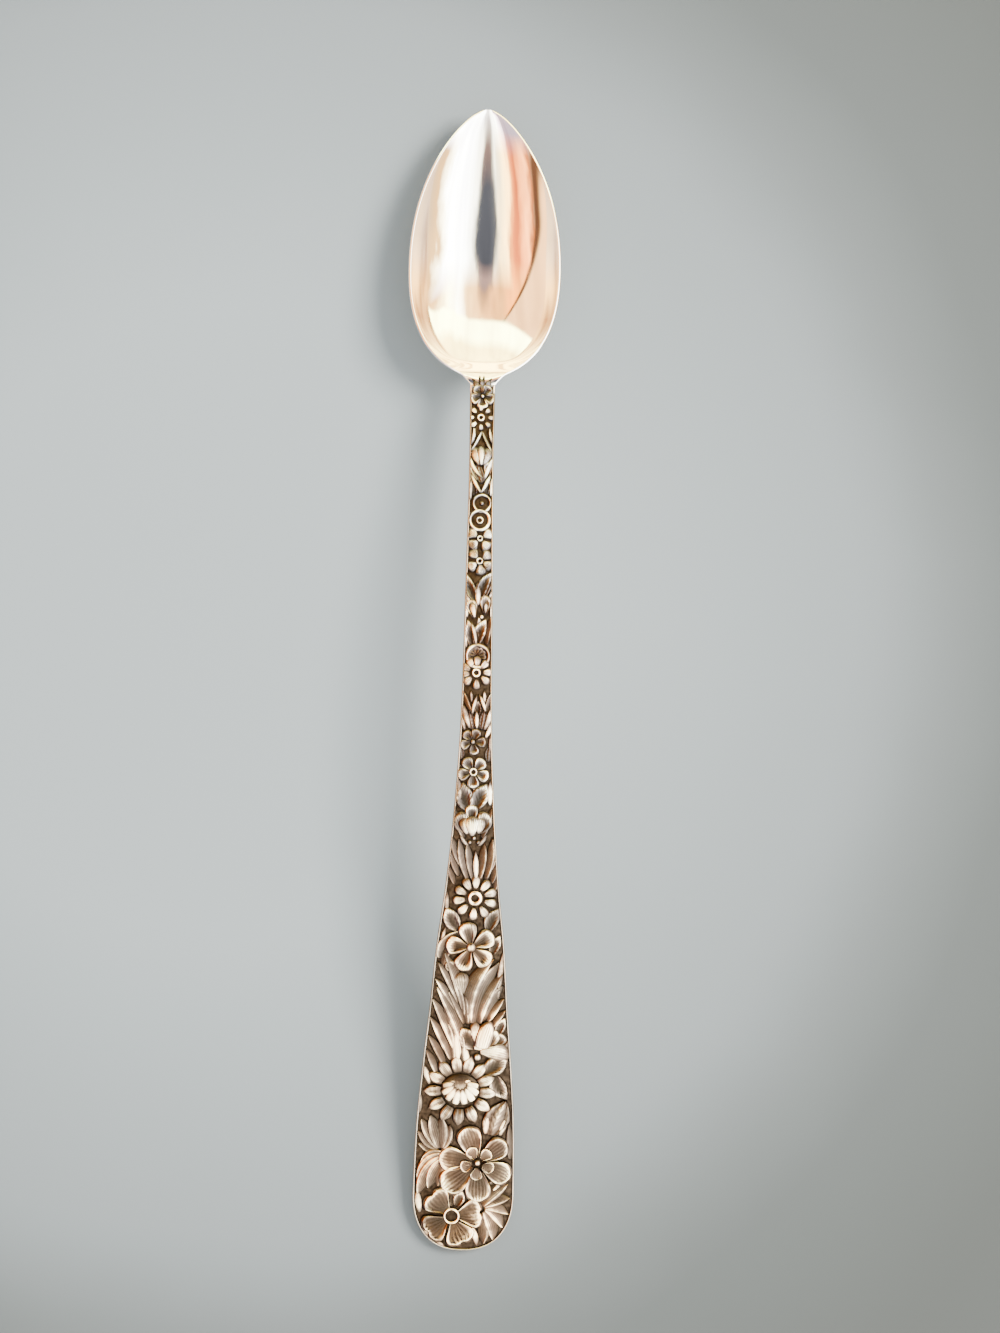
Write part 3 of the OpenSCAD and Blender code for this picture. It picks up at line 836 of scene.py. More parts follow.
# %% Lay the ornament of the shoulder
REGION = "rose"
lay_all(REGION, [
    ("cup", (119.7, -0.9), (116.3, -2.5), 0.9, 0.8, 0.1, 24),
    ("cup", (119.7, 0.6), (116.2, 1.9), 0.9, 0.8, 0.1, -24),
    ("deep", (117.9, -0.3), (115.0, -0.5), 0.9, 0.8, 0.1, 0),
    ("plump", (119.9, -1.0), (117.1, -1.5), 0.9, 0.85, 0.3, 10),
    ("plump", (119.8, 0.8), (117.1, 0.9), 0.9, 0.85, 0.3, -10),
    ("plump", (120.2, -0.2), (116.9, -0.4), 0.95, 1.0, 0.35, 0)])
for place in ((120.5, 0.1), (121.2, -0.6), (121.2, 0.8)):
    spot(REGION, "dome", place, 0.42, height=0.7, lift=0.1)
REGION = "shoulder_leaves"
lay_all(REGION, [
    ("hollow_leaf", (116.0, -1.1), (111.4, -2.0), 1.35, 0.85, 0.05, 8),
    ("hollow_leaf", (115.9, 0.1), (111.6, 2.0), 1.35, 0.85, 0.05, 10),
    ("left_edge", (120.6, -1.5), (115.3, -3.4), 0.9, 0.85, 0, 8),
    ("right_edge", (120.5, 1.3), (115.5, 2.8), 0.9, 0.85, 0, -8),
    ("blade", (121.8, -0.8), (119.9, -2.3), 1.2, 0.8, 0.1, 10),
    ("blade", (121.8, 0.8), (119.8, 2.2), 1.2, 0.8, 0.1, -10),
    ("left_edge", (125.2, -1.8), (120.3, -3.5), 1.1, 0.9, 0, 8),
    ("left_edge", (126.8, -2.2), (122.2, -3.7), 1.1, 0.9, 0, 8),
    ("left_edge", (128.2, -2.8), (124.9, -3.9), 1.3, 0.85, 0, 6),
    ("left_edge", (127.5, -0.7), (120.6, -2.3), 0.85, 0.95, 0.1, 8),
    ("left_edge", (127.4, 0.1), (121.2, -1.0), 0.9, 0.95, 0.1, 4),
    ("blade", (127.4, 0.6), (122.5, 0.4), 0.9, 1.0, 0.15, 0),
    ("right_edge", (127.4, 1.1), (121.1, 1.8), 0.9, 0.95, 0.1, -4),
    ("right_edge", (127.4, 2.1), (120.4, 3.1), 0.85, 0.95, 0.1, -8),
    ("right_edge", (126.1, 2.7), (121.1, 3.7), 1.0, 0.9, 0, -8),
    ("right_edge", (128.0, 3.1), (123.7, 3.9), 1.1, 0.9, 0, -6),
    ("right_edge", (129.3, 3.6), (126.0, 4.1), 1.2, 0.8, 0, -4),
    ("hollow_leaf", (135.8, -2.0), (131.9, -4.3), 1.3, 0.85, 0.05, 8),
    ("blade", (132.8, -4.1), (129.2, -4.1), 1.0, 0.75, 0, 0),
    ("hollow_leaf", (136.0, 2.8), (132.0, 4.5), 1.2, 0.8, 0, 14),
    ("left_edge", (140.6, -5.0), (136.0, -2.0), 1.1, 0.95, 0.1, 44),
    ("right_edge", (141.9, -4.5), (137.5, -2.4), 1.1, 0.7, 0, 20),
    ("blade", (138.4, -4.7), (135.2, -4.1), 0.9, 0.75, 0, 10),
    ("hollow_leaf", (139.9, 3.5), (136.5, 4.9), 1.1, 0.7, 0, 10),
    ("tray", (143.2, -1.8), (141.0, -4.0), 1.5, 0.8, 0.1, 0),
    ("blade", (143.9, -2.0), (142.9, -3.5), 1.2, 0.75, 0.1, 0)])
REGION = "shoulder_flowers"
flower(REGION, "pad", (130.4, 0.5), 3.75, [2, 38, 72, 106, 146, 184, 226, 262, 296, 330], width=1.7,
       middle="ring", share=0.34, height=0.95, lift=0.25, foot=0.42)
flower(REGION, "cup", (138.6, 0.1), 4.3, even(5, -12), width=1.0,
       middle="dome", share=0.2, height=0.95, lift=0.3, foot=0.12)

# %% [markdown]
# The broad end holds the largest flowers, the great daisy with its full middle, a six-petal blossom with a
# small floret inside, and a last blossom with heart-shaped petals, set in lobed leaves. A lily in side view
# leans out above the daisy. The leaves are made of overlapping blades, each with one high edge.

# %% Lay the leaves above the great daisy
REGION = "end_leaves"
lay_all(REGION, [
    ("plump", (146.5, -1.1), (142.8, -1.7), 0.9, 0.85, 0.2, 0),
    ("right_edge", (151.6, -0.1), (146.5, -0.8), 1.1, 1.0, 0.1, 4),
    ("right_edge", (151.6, 0.2), (140.4, 3.9), 0.95, 1.15, 0.15, 34),
    ("left_edge", (151.6, 0.9), (141.0, 5.0), 0.9, 1.05, 0.05, 24),
    ("right_edge", (151.6, 1.7), (143.0, 5.4), 1.0, 1.0, 0.05, 20),
    ("left_edge", (151.2, 2.3), (145.0, 5.6), 1.1, 0.95, 0.05, 16),
    ("right_edge", (151.2, 3.2), (147.1, 5.8), 1.2, 0.95, 0.05, 12),
    ("right_edge", (152.2, 3.9), (149.1, 6.1), 1.3, 0.9, 0, 10),
    ("hollow_leaf", (153.5, 4.8), (150.4, 6.1), 1.1, 0.8, 0, 6),
    ("blade", (147.4, 4.8), (139.0, 5.5), 0.5, 0.7, 0, 4),
    ("left_edge", (149.2, -0.9), (139.5, -4.2), 0.75, 1.0, 0.1, -12),
    ("left_edge", (148.2, -1.6), (141.2, -5.2), 0.8, 0.95, 0.05, -10),
    ("left_edge", (149.3, -2.0), (143.9, -5.6), 0.9, 0.9, 0.05, -10),
    ("right_edge", (150.3, -0.8), (143.2, -3.0), 0.8, 0.95, 0.1, -8),
    ("left_edge", (151.6, -0.6), (145.9, -3.4), 0.8, 0.9, 0.1, -6),
    ("left_edge", (154.4, -1.0), (145.3, -5.3), 0.85, 1.0, 0.1, -12),
    ("left_edge", (156.1, -2.0), (147.3, -6.0), 0.85, 1.0, 0.1, -10),
    ("right_edge", (157.1, -1.3), (148.6, -4.2), 0.8, 0.95, 0.15, -6),
    ("left_edge", (157.8, -2.6), (150.4, -6.3), 0.85, 0.95, 0.05, -8),
    ("left_edge", (158.9, -3.6), (153.5, -6.5), 0.95, 0.95, 0.05, -8),
    ("right_edge", (158.2, -2.3), (151.3, -3.4), 0.8, 0.95, 0.1, -4),
    ("blade", (158.1, -1.5), (152.3, -2.2), 0.9, 0.95, 0.1, -2),
    ("right_edge", (158.1, -0.6), (152.7, -1.2), 1.0, 0.95, 0.1, 2),
    ("left_edge", (160.3, -4.9), (155.9, -6.8), 1.1, 0.9, 0, -6),
    ("blade", (162.0, -6.1), (158.6, -7.1), 1.2, 0.8, 0, 0),
    ("blade", (158.8, 0.0), (155.4, -0.3), 1.4, 0.8, 0.1, 0)])

# %% Lay the leaves round the great daisy and below
lay_all(REGION, [
    ("hollow_leaf", (160.1, 3.0), (157.6, 6.8), 1.5, 0.95, 0.15, 14),
    ("hollow_leaf", (160.0, 4.7), (164.5, 6.9), 1.2, 0.85, 0.05, -24),
    ("leaf", (170.7, 4.4), (164.6, 6.7), 1.35, 1.0, 0.2, 10),
    ("blade", (170.7, 5.8), (167.2, 7.1), 1.3, 0.85, 0.1, 6),
    ("blade", (170.4, 3.4), (166.6, 3.6), 1.4, 0.9, 0.1, 4),
    ("leaf", (156.9, 5.5), (154.2, 6.8), 1.2, 0.8, 0, 0),
    ("right_edge", (173.0, -3.8), (168.8, -2.5), 1.7, 0.95, 0.1, -14),
    ("right_edge", (173.0, -4.0), (167.5, -4.0), 1.7, 0.95, 0.1, -6),
    ("left_edge", (173.0, -4.2), (167.2, -5.8), 1.6, 0.95, 0.1, 0),
    ("left_edge", (173.0, -4.3), (167.9, -7.3), 1.4, 0.95, 0.05, 6),
    ("left_edge", (173.0, -4.5), (170.0, -7.8), 1.6, 0.9, 0, 14),
    ("left_edge", (173.3, -4.5), (172.0, -7.7), 1.7, 0.85, 0, 20),
    ("blade", (166.9, -7.7), (163.4, -7.6), 1.1, 0.75, 0, 0),
    ("right_edge", (173.7, -3.8), (175.5, -7.3), 1.9, 0.95, 0.1, -30),
    ("right_edge", (174.0, -3.8), (178.2, -7.8), 1.6, 1.0, 0.1, -30),
    ("right_edge", (174.4, -3.7), (181.0, -7.6), 1.3, 1.0, 0.1, -26),
    ("right_edge", (174.7, -3.5), (179.9, -5.9), 1.6, 0.9, 0.05, -20),
    ("left_edge", (175.0, -3.3), (179.5, -4.4), 1.7, 0.85, 0, -14),
    ("blade", (184.1, -7.2), (180.0, -7.8), 1.2, 0.8, 0, 0),
    ("hollow_leaf", (182.9, -1.6), (179.5, -2.8), 1.1, 0.7, 0, 0),
    ("hollow_leaf", (182.9, -1.2), (180.1, -0.1), 1.4, 0.8, 0.1, 0),
    ("right_edge", (182.8, 3.1), (178.9, 7.4), 1.75, 0.95, 0.05, 20),
    ("right_edge", (182.8, 3.3), (181.3, 7.8), 1.75, 0.95, 0.1, 16),
    ("right_edge", (183.0, 3.5), (184.1, 7.7), 1.75, 0.95, 0.1, 26),
    ("right_edge", (183.1, 3.6), (186.5, 6.8), 1.75, 0.95, 0.1, 28),
    ("right_edge", (183.5, 3.5), (188.6, 5.2), 1.75, 0.95, 0.1, 22),
    ("left_edge", (183.8, 3.1), (189.3, 3.5), 1.6, 0.9, 0.05, 14),
    ("blade", (186.3, 1.5), (189.7, 2.5), 1.4, 0.85, 0, 10),
    ("hollow_leaf", (180.1, 3.4), (178.3, 6.1), 1.0, 0.6, 0, 0),
    ("blade", (188.8, -4.5), (189.8, -2.9), 1.8, 0.7, 0, 0),
    ("blade", (185.8, -6.6), (188.5, -5.5), 1.5, 0.75, 0, 0),
    ("left_edge", (174.8, 7.7), (168.6, 7.4), 0.87, 0.7, 0, 0),
    ("blade", (181.1, 4.5), (177.6, 6.9), 0.9, 0.7, 0, 0),
    ("leaf", (172.6, -3.0), (170.2, -2.1), 1.0, 0.6, 0, 0)])

# %% Lay the lily and the great daisy
REGION = "lily"
lay_all(REGION, [
    ("hollow_leaf", (155.7, 1.3), (152.1, -1.2), 1.5, 0.9, 0.15, 10),
    ("pad", (155.0, 1.5), (151.1, 1.0), 1.1, 0.9, 0.15, 0),
    ("rib", (155.8, 2.3), (151.0, 3.7), 1.3, 1.0, 0.35, 8),
    ("tray", (155.6, 3.0), (152.5, 4.7), 1.7, 0.9, 0.15, -6),
    ("plump", (156.3, 2.0), (156.9, 7.0), 0.75, 1.0, 0.3, 14),
    ("plump", (155.8, 2.5), (155.0, 1.0), 1.0, 0.8, 0.3, 0),
    ("cup", (155.3, 4.6), (153.2, 5.9), 1.1, 0.8, 0.1, 0)])
spot(REGION, "dome", (157.2, 1.7), 0.75, height=0.8, lift=0.1)
REGION = "great_daisy"
flower(REGION, "ray_petal", (162.9, -1.0), 6.2, [-36, -9, 16, 42, 68, 95, 124, 154, 182, 210, 238, 268, 298],
       width=1.15, middle="", share=0.3, height=0.95, lift=0.2, foot=0.5)
DOME, BUTTON, DOME_R = (162.8, -1.0), (161.8, -1.0), 2.75
lay(REGION, "dome", DOME, (DOME[0] - DOME_R, DOME[1]), width=1.2, height=0.6, lift=0.3)
for turn in range(75, 300, 30):
    lay(REGION, "rib", off(DOME, turn, 2.55, 3.05), off(BUTTON, turn, 0.75, 0.95), width=1.05, height=0.6,
        lift=0.76)
for turn in (-50, 40):
    lay(REGION, "plump", off(DOME, turn, 2.1, 2.7), off(BUTTON, turn, 0.5, 1.0), width=0.7, height=0.4,
        lift=0.7)

# %% Lay the two blossoms at the end
REGION = "six_petal_blossom"
HEART, HEART_SHARE = (175.3, 2.2), 0.14
SIX_TIPS = [
    ((169.1, 0.1), 0.3), ((171.7, 7.0), 0.2), ((177.9, 7.8), 0.3),
    ((182.1, 2.5), 0.22), ((179.9, -3.6), 0.32), ((174.4, -4.4), 0.22)]
for tip, lift in SIX_TIPS:
    foot = (HEART[0] + HEART_SHARE * (tip[0] - HEART[0]), HEART[1] + HEART_SHARE * (tip[1] - HEART[1]))
    lay(REGION, "great_cup", foot, tip, width=0.74, height=1.0, lift=lift)
flower(REGION, "lobe", HEART, 3.0, [-28, 45, 112, 184, 254], width=1.15,
       middle="dome", share=0.19, height=0.75, lift=0.7, foot=0.28)
REGION = "end_blossom"
flower(REGION, "heart", (184.5, -1.9), 5.3, [-44, 82, 156, 234], width=1.2,
       middle="", share=0.3, height=1.0, lift=0.25, foot=0.2)
spot(REGION, "hoop", (184.5, -1.9), 1.45, height=0.6, lift=0.5)
print({name: len(pieces) for name, pieces in groups.items()})

# %% [markdown]
# The copies of each kind are joined into one piece, which stands for the plain relief of the CAD frame. The
# solids' rings and domes are part of the flowers here, so the flowers stand for them too.

# %% Join each kind into one piece
STANDS_FOR = {
    "stem_flowers": ("stem_flowers", "flower_rings"),
    "great_daisy": ("great_daisy", "flower_domes")}
reliefs = []
for group, pieces in groups.items():
    start_clean()
    for piece in pieces:
        piece.select_set(True)
    bpy.context.view_layer.objects.active = pieces[0]
    bpy.ops.object.join()
    relief = bpy.context.object
    relief.name = relief.data.name = group + "_relief"
    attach(relief, "root")
    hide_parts(*STANDS_FOR.get(group, (group,)))
    reliefs.append(relief)
    print(relief.name, len(relief.data.polygons), "faces")
for unit in UNITS.values():
    bpy.data.objects.remove(unit)

# %% [markdown]
# Old silver is a warm mirror where it is rubbed and nearly black where polish never reaches. Three finishes
# share one recipe: a colour that runs from tarnish to metal, a fine scatter of wear in the gloss, and hair
# scratches too small to see but wide enough to soften the highlights. A noise in object space keeps its
# place on the silver, and it is cheap to make coarse or fine.

# %% Helpers for a material's nodes
def blank(name):
    made = bpy.data.materials.new(name)
    made.use_nodes = True
    return made, made.node_tree, made.node_tree.nodes["Principled BSDF"]


def link(tree, out, into):
    tree.links.new(out, into)


def node(tree, kind, **values):
    made = tree.nodes.new(kind)
    for key, value in values.items():
        if hasattr(made, key):
            setattr(made, key, value)
        else:
            made.inputs[key.replace("_", " ")].default_value = value
    return made


def ramp(tree, factor, stops):
    made = tree.nodes.new("ShaderNodeValToRGB")
    bar = made.color_ramp
    while len(bar.elements) < len(stops):
        bar.elements.new(0.5)
    for element, (place, colour) in zip(bar.elements, stops):
        element.position = place
        element.color = tuple(colour) + (1,)
    link(tree, factor, made.inputs["Fac"])
    return made.outputs["Color"]


def grey(value):
    return (value, value, value)


# %% Helpers for patterns
def noise(tree, scale, detail=3, stretch=(1, 1, 1)):
    place = node(tree, "ShaderNodeTexCoord")
    turn = node(tree, "ShaderNodeMapping")
    turn.inputs["Scale"].default_value = stretch
    link(tree, place.outputs["Object"], turn.inputs["Vector"])
    made = node(tree, "ShaderNodeTexNoise", Scale=scale, Detail=detail)
    link(tree, turn.outputs["Vector"], made.inputs["Vector"])
    return made.outputs["Fac"]


def maths(tree, operation, *values):
    made = node(tree, "ShaderNodeMath", operation=operation)
    for socket, value in zip(made.inputs, values):
        if isinstance(value, (int, float)):
            socket.default_value = value
        else:
            link(tree, value, socket)
    return made.outputs[0]


def bump(tree, shader, height, strength, distance):
    made = node(tree, "ShaderNodeBump", Strength=strength, Distance=distance)
    link(tree, height, made.inputs["Height"])
    link(tree, made.outputs["Normal"], shader.inputs["Normal"])


def times(tree, a, b):
    made = node(tree, "ShaderNodeMix", data_type="RGBA", blend_type="MULTIPLY")
    made.inputs["Factor"].default_value = 1
    link(tree, a, made.inputs["A"])
    link(tree, b, made.inputs["B"])
    return made.outputs["Result"]


# %% Polished silver
SCRATCH_STRETCH = (1, 0.12, 1)
GLOSS_SPREAD = 0.05


def polished_silver(name, low, high, rough):
    made, tree, shader = blank(name)
    shader.inputs["Metallic"].default_value = 1
    wear = noise(tree, scale=120, detail=4)
    link(tree, ramp(tree, wear, [(0.3, low), (0.7, high)]), shader.inputs["Base Color"])
    scratches = noise(tree, scale=900, detail=5, stretch=SCRATCH_STRETCH)
    gloss = ramp(tree, scratches, [(0.35, grey(rough)), (0.7, grey(rough + GLOSS_SPREAD))])
    link(tree, gloss, shader.inputs["Roughness"])
    bump(tree, shader, scratches, strength=0.05, distance=0.02 * MM)
    return made


# %% [markdown]
# The relief is toned by the number that each point remembers. Low places get the tarnish, high ones the
# rubbed metal, and a noise and the veins break the edge between them. Silver isn't one colour either: it is
# rosier in patches. Towards the bowl its colour is also painted cooler, a painted reflection colour, where
# the warm room would turn it too brown.

# %% Tint of the relief
TINT_FROM, TINT_TO = -95 * MM, 55 * MM
ROSY_PATCHES = [(0.38, (1.0, 0.86, 0.76)), (0.5, (1.0, 0.97, 0.94)), (0.62, (0.96, 1.0, 1.02))]
# painted reflection: the relief's colour turns cooler and bluer towards the bowl
PAINTED_REFLECTION_TINT_ALONG = [(0.0, (1.0, 0.98, 1.0)), (0.35, (0.98, 1.01, 1.1)), (0.6, (0.95, 1.09, 1.5)),
              (1.0, (0.92, 1.18, 1.9))]


def tinted(tree, colour):
    place = node(tree, "ShaderNodeTexCoord")
    parts = node(tree, "ShaderNodeSeparateXYZ")
    link(tree, place.outputs["Object"], parts.inputs["Vector"])
    span = TINT_TO - TINT_FROM
    along = maths(tree, "MULTIPLY_ADD", parts.outputs["Y"], 1 / span, -TINT_FROM / span)
    patched = times(tree, colour, ramp(tree, noise(tree, scale=95, detail=2), ROSY_PATCHES))
    # the rosy patches are the silver's own tone; the tint along the spoon is a painted reflection colour
    return times(tree, patched, ramp(tree, along, PAINTED_REFLECTION_TINT_ALONG))


# %% Relief silver
TARNISH_TO_METAL = [
    (0.0, (0.016, 0.011, 0.0068)), (0.3, (0.022, 0.016, 0.0105)), (0.5, (0.031, 0.0225, 0.0152)),
    (0.72, (0.058, 0.04, 0.027)), (0.84, (0.12, 0.086, 0.056)), (0.92, (0.38, 0.285, 0.175)),
    (1.0, (1.0, 0.82, 0.46))]
VEIN_LINES, VEIN_DEPTH = 24, 0.03
VEIN_BUMP = 0.35
RELIEF_ROUGH = [(0.2, grey(0.38)), (0.85, grey(0.15))]
WEAR, PATCHES, PATCH_LEVEL = 0.36, 0.5, -0.23


def relief_silver():
    made, tree, shader = blank("relief_silver")
    shader.inputs["Metallic"].default_value = 1
    height = node(tree, "ShaderNodeAttribute", attribute_name="relief")
    vein = node(tree, "ShaderNodeAttribute", attribute_name="vein")
    lines = maths(tree, "SINE", maths(tree, "MULTIPLY", vein.outputs["Fac"], VEIN_LINES))
    wear = maths(tree, "MULTIPLY_ADD", noise(tree, scale=700, detail=6), WEAR, -WEAR / 2)
    patches = maths(tree, "MULTIPLY_ADD", noise(tree, scale=170, detail=2), PATCHES, PATCH_LEVEL)
    worn = maths(tree, "ADD", height.outputs["Fac"], maths(tree, "MULTIPLY_ADD", lines, VEIN_DEPTH, wear))
    worn = maths(tree, "ADD", worn, patches)
    link(tree, tinted(tree, ramp(tree, worn, TARNISH_TO_METAL)), shader.inputs["Base Color"])
    link(tree, ramp(tree, worn, RELIEF_ROUGH), shader.inputs["Roughness"])
    fine = maths(tree, "MULTIPLY_ADD", lines, VEIN_BUMP, noise(tree, scale=2200, detail=4))
    bump(tree, shader, fine, strength=0.45, distance=0.05 * MM)
    return made


# %% Darkened ground with a bright back
GROUND_TONES = [(0.35, (0.012, 0.008, 0.005)), (0.7, (0.04, 0.028, 0.019))]
BACK_TONES = [(0.3, (0.9, 0.85, 0.79)), (0.7, (0.96, 0.93, 0.89))]
BACK_ROUGH, GROUND_ROUGH = 0.16, 0.5


def dark_silver():
    made, tree, shader = blank("dark_silver")
    shader.inputs["Metallic"].default_value = 1
    front = node(tree, "ShaderNodeAttribute", attribute_name="front")
    grain = noise(tree, scale=1800, detail=4)
    dark = ramp(tree, grain, GROUND_TONES)
    bright = ramp(tree, noise(tree, scale=150, detail=4), BACK_TONES)
    colour = node(tree, "ShaderNodeMix", data_type="RGBA")
    link(tree, front.outputs["Fac"], colour.inputs["Factor"])
    link(tree, bright, colour.inputs["A"])
    link(tree, dark, colour.inputs["B"])
    link(tree, colour.outputs["Result"], shader.inputs["Base Color"])
    rough = node(tree, "ShaderNodeMapRange")
    rough.inputs["To Min"].default_value = BACK_ROUGH
    rough.inputs["To Max"].default_value = GROUND_ROUGH
    link(tree, front.outputs["Fac"], rough.inputs["Value"])
    link(tree, rough.outputs["Result"], shader.inputs["Roughness"])
    bump(tree, shader, grain, strength=0.2, distance=0.04 * MM)
    return made


# %% [markdown]
# The bars are dark only on their front, inside the border. So each point of a bar is marked by where it is:
# 1 on the sunk ground, 0 on the sides and back, and a short fade at the neck, where the bowl's polish ends.

# %% Mark the front of the bars
DARK_FROM, DARK_FULL = 0.002, 0.014
INSIDE_BORDER, SKIN = 0.3, 0.1 * MM


def paint_front(piece):
    note = piece.data.attributes.new("front", "FLOAT", "POINT")
    for v, mark in zip(piece.data.vertices, note.data):
        u = u_at(v.co.y)
        inside = abs(v.co.x) < half_w(u) - BORDER_W * INSIDE_BORDER
        fading = ease((u - DARK_FROM) / (DARK_FULL - DARK_FROM))
        mark.value = fading if inside and v.co.z > ground(v.co.x, v.co.y) - SKIN else 0
    print(piece.name, sum(mark.value > 0 for mark in note.data), "points on the dark ground")


# %% Put the finishes on
def coat(piece, made):
    piece.data.materials.clear()
    piece.data.materials.append(made)


polish = polished_silver("polished_silver", low=(0.95, 0.93, 0.9), high=(0.98, 0.96, 0.93), rough=0.035)
rubbed = polished_silver("rubbed_silver", low=(0.14, 0.115, 0.085), high=(0.45, 0.39, 0.31), rough=0.22)
worn_relief, dark_ground = relief_silver(), dark_silver()
coat(bowl, polish)
coat(border, rubbed)
for bar in bars:
    paint_front(bar)
    coat(bar, dark_ground)
for relief in reliefs:
    coat(relief, worn_relief)
print("finishes", [made.name for made in (polish, rubbed, worn_relief, dark_ground)])

# %% [markdown]
# The spoon lies on a plain pale table. The floor is a stage piece, with a faint tooth so that it isn't a
# dead flat grey. Its colour is painted darker away from the spoon: painted shade, a painted falloff of the
# light.

# %% Table
# The table's own pale blue grey near the spoon, then painted shade that darkens it further out
TABLE_GREYS_AND_PAINTED_FALLOFF = [
    (0.06, (0.262, 0.29, 0.29)), (0.111, (0.185, 0.204, 0.203)), (0.127, (0.12, 0.131, 0.127)),
    (0.14, (0.088, 0.096, 0.092)), (0.17, (0.068, 0.073, 0.068))]
PAINTED_LIGHT_SPOT = (-0.04, 0.01, 0)
TABLE_SIZE, TABLE_ROUGH, TABLE_SHINE, TABLE_UNEVEN = 3, 0.8, 0.15, 0.012
start_clean()
bpy.ops.mesh.primitive_plane_add(size=TABLE_SIZE)
table = bpy.context.object
table.name = "table"
made, tree, shader = blank("table_grey_painted_falloff")
place = node(tree, "ShaderNodeTexCoord")
spread_out = node(tree, "ShaderNodeVectorMath", operation="LENGTH")
shifted = node(tree, "ShaderNodeMapping")
shifted.inputs["Location"].default_value = [-c for c in PAINTED_LIGHT_SPOT]
link(tree, place.outputs["Object"], shifted.inputs["Vector"])
link(tree, shifted.outputs["Vector"], spread_out.inputs[0])
# painted shade: the grey darkens with distance from the spoon, a painted falloff of the light
far = maths(tree, "MULTIPLY_ADD", noise(tree, scale=14, detail=3), TABLE_UNEVEN, spread_out.outputs["Value"])
link(tree, ramp(tree, far, TABLE_GREYS_AND_PAINTED_FALLOFF), shader.inputs["Base Color"])
shader.inputs["Roughness"].default_value = TABLE_ROUGH
shader.inputs["Specular IOR Level"].default_value = TABLE_SHINE
bump(tree, shader, noise(tree, scale=900, detail=3), strength=0.05, distance=0.2 * MM)
coat(table, made)
print("table", TABLE_SIZE, "m wide, palest at", PAINTED_LIGHT_SPOT)

# %% [markdown]
# A bowl of polished silver shows the whole room above it, so the room is painted on the sky by direction: a
# white window wall to the right, a warm wall to the left, cream light past the bowl's tip and a small dark
# patch overhead. Only mirror rays see it. All else gets a plain soft light of one colour. A place on the sky
# is a number from -1 to 1 along x or y, and each wall is a list of such places with its colours.

# %% Helpers for the sky
world = bpy.data.worlds.new("studio")
bpy.context.scene.world = world
world.use_nodes = True
tree = world.node_tree
sky = tree.nodes["Background"]
direction = node(tree, "ShaderNodeTexCoord").outputs["Generated"]


def seen(axis, stops):
    share = maths(tree, "MULTIPLY_ADD", axis, 0.5, 0.5)
    return ramp(tree, share, [((at + 1) / 2, colour) for at, colour in stops])


def fade(axis, low, high):
    stops = [(low, grey(0)), (high, grey(1))]
    return seen(axis, stops if low < high else stops[::-1])


def blend(factor, a, b, blend_type="MIX"):
    made = node(tree, "ShaderNodeMix", data_type="RGBA", blend_type=blend_type)
    for socket, value in ((made.inputs["Factor"], factor), (made.inputs["A"], a), (made.inputs["B"], b)):
        if isinstance(value, tuple):
            socket.default_value = value + (1,)
        elif isinstance(value, (int, float)):
            socket.default_value = value
        else:
            link(tree, value, socket)
    return made.outputs["Result"]


def soft_noise(stretch, scale, detail):
    turn = node(tree, "ShaderNodeMapping")
    turn.inputs["Scale"].default_value = stretch
    link(tree, direction, turn.inputs["Vector"])
    made = node(tree, "ShaderNodeTexNoise", Scale=scale, Detail=detail)
    link(tree, turn.outputs["Vector"], made.inputs["Vector"])
    return made.outputs["Fac"]


# %% Colours of the walls
MIDDLE_WALL = [
    (-1, (0.14, 0.08, 0.045)), (-0.95, (0.22, 0.12, 0.06)), (-0.91, (0.24, 0.065, 0.015)),
    (-0.86, (0.9, 0.33, 0.09)), (-0.8, (0.62, 0.19, 0.045)), (-0.72, (0.3, 0.065, 0.016)),
    (-0.62, (0.36, 0.085, 0.02)), (-0.55, (0.5, 0.16, 0.035)), (-0.46, (1.4, 0.85, 0.25)),
    (-0.34, (1, 0.68, 0.25)), (-0.2, (0.5, 0.43, 0.27)), (-0.08, (0.8, 0.75, 0.55)),
    (0.16, (1, 0.95, 0.7)), (0.3, (1.5, 1.55, 1.3)), (0.45, (2, 2.05, 2)), (0.82, (2.1, 2.1, 2)),
    (0.88, (1.3, 1.15, 0.7)), (0.93, (0.42, 0.24, 0.08)), (1, (0.3, 0.2, 0.1))]
NEAR_WALL = [
    (-1, (0.15, 0.13, 0.15)), (-0.6, (0.18, 0.13, 0.145)), (-0.48, (0.95, 0.75, 0.78)),
    (-0.3, (1.5, 1.5, 1.3)), (0, (0.6, 0.56, 0.5)), (0.12, (0.5, 0.47, 0.42)), (0.3, (1.5, 1.5, 1.4)),
    (1, (2, 2, 2))]
FAR_WALL = [
    (-1, (0.4, 0.2, 0.06)), (-0.85, (0.5, 0.23, 0.06)), (-0.72, (0.55, 0.2, 0.035)),
    (-0.58, (0.7, 0.22, 0.03)), (-0.31, (0.38, 0.17, 0.045)), (-0.08, (0.55, 0.25, 0.07)),
    (0.08, (0.6, 0.3, 0.09)), (0.3, (0.8, 0.5, 0.18)), (0.5, (1.7, 1.65, 1.2)), (0.68, (1.5, 1.3, 0.6)),
    (0.8, (0.6, 0.34, 0.11)), (1, (0.35, 0.15, 0.03))]
EAVES, DUSK = (0.04, 0.017, 0.008), (0.5, 0.26, 0.1)
CREAM, AMBER = (1.9, 1.85, 0.75), (1.1, 0.85, 0.27)
print("stops on the walls", len(MIDDLE_WALL), len(NEAR_WALL), len(FAR_WALL))

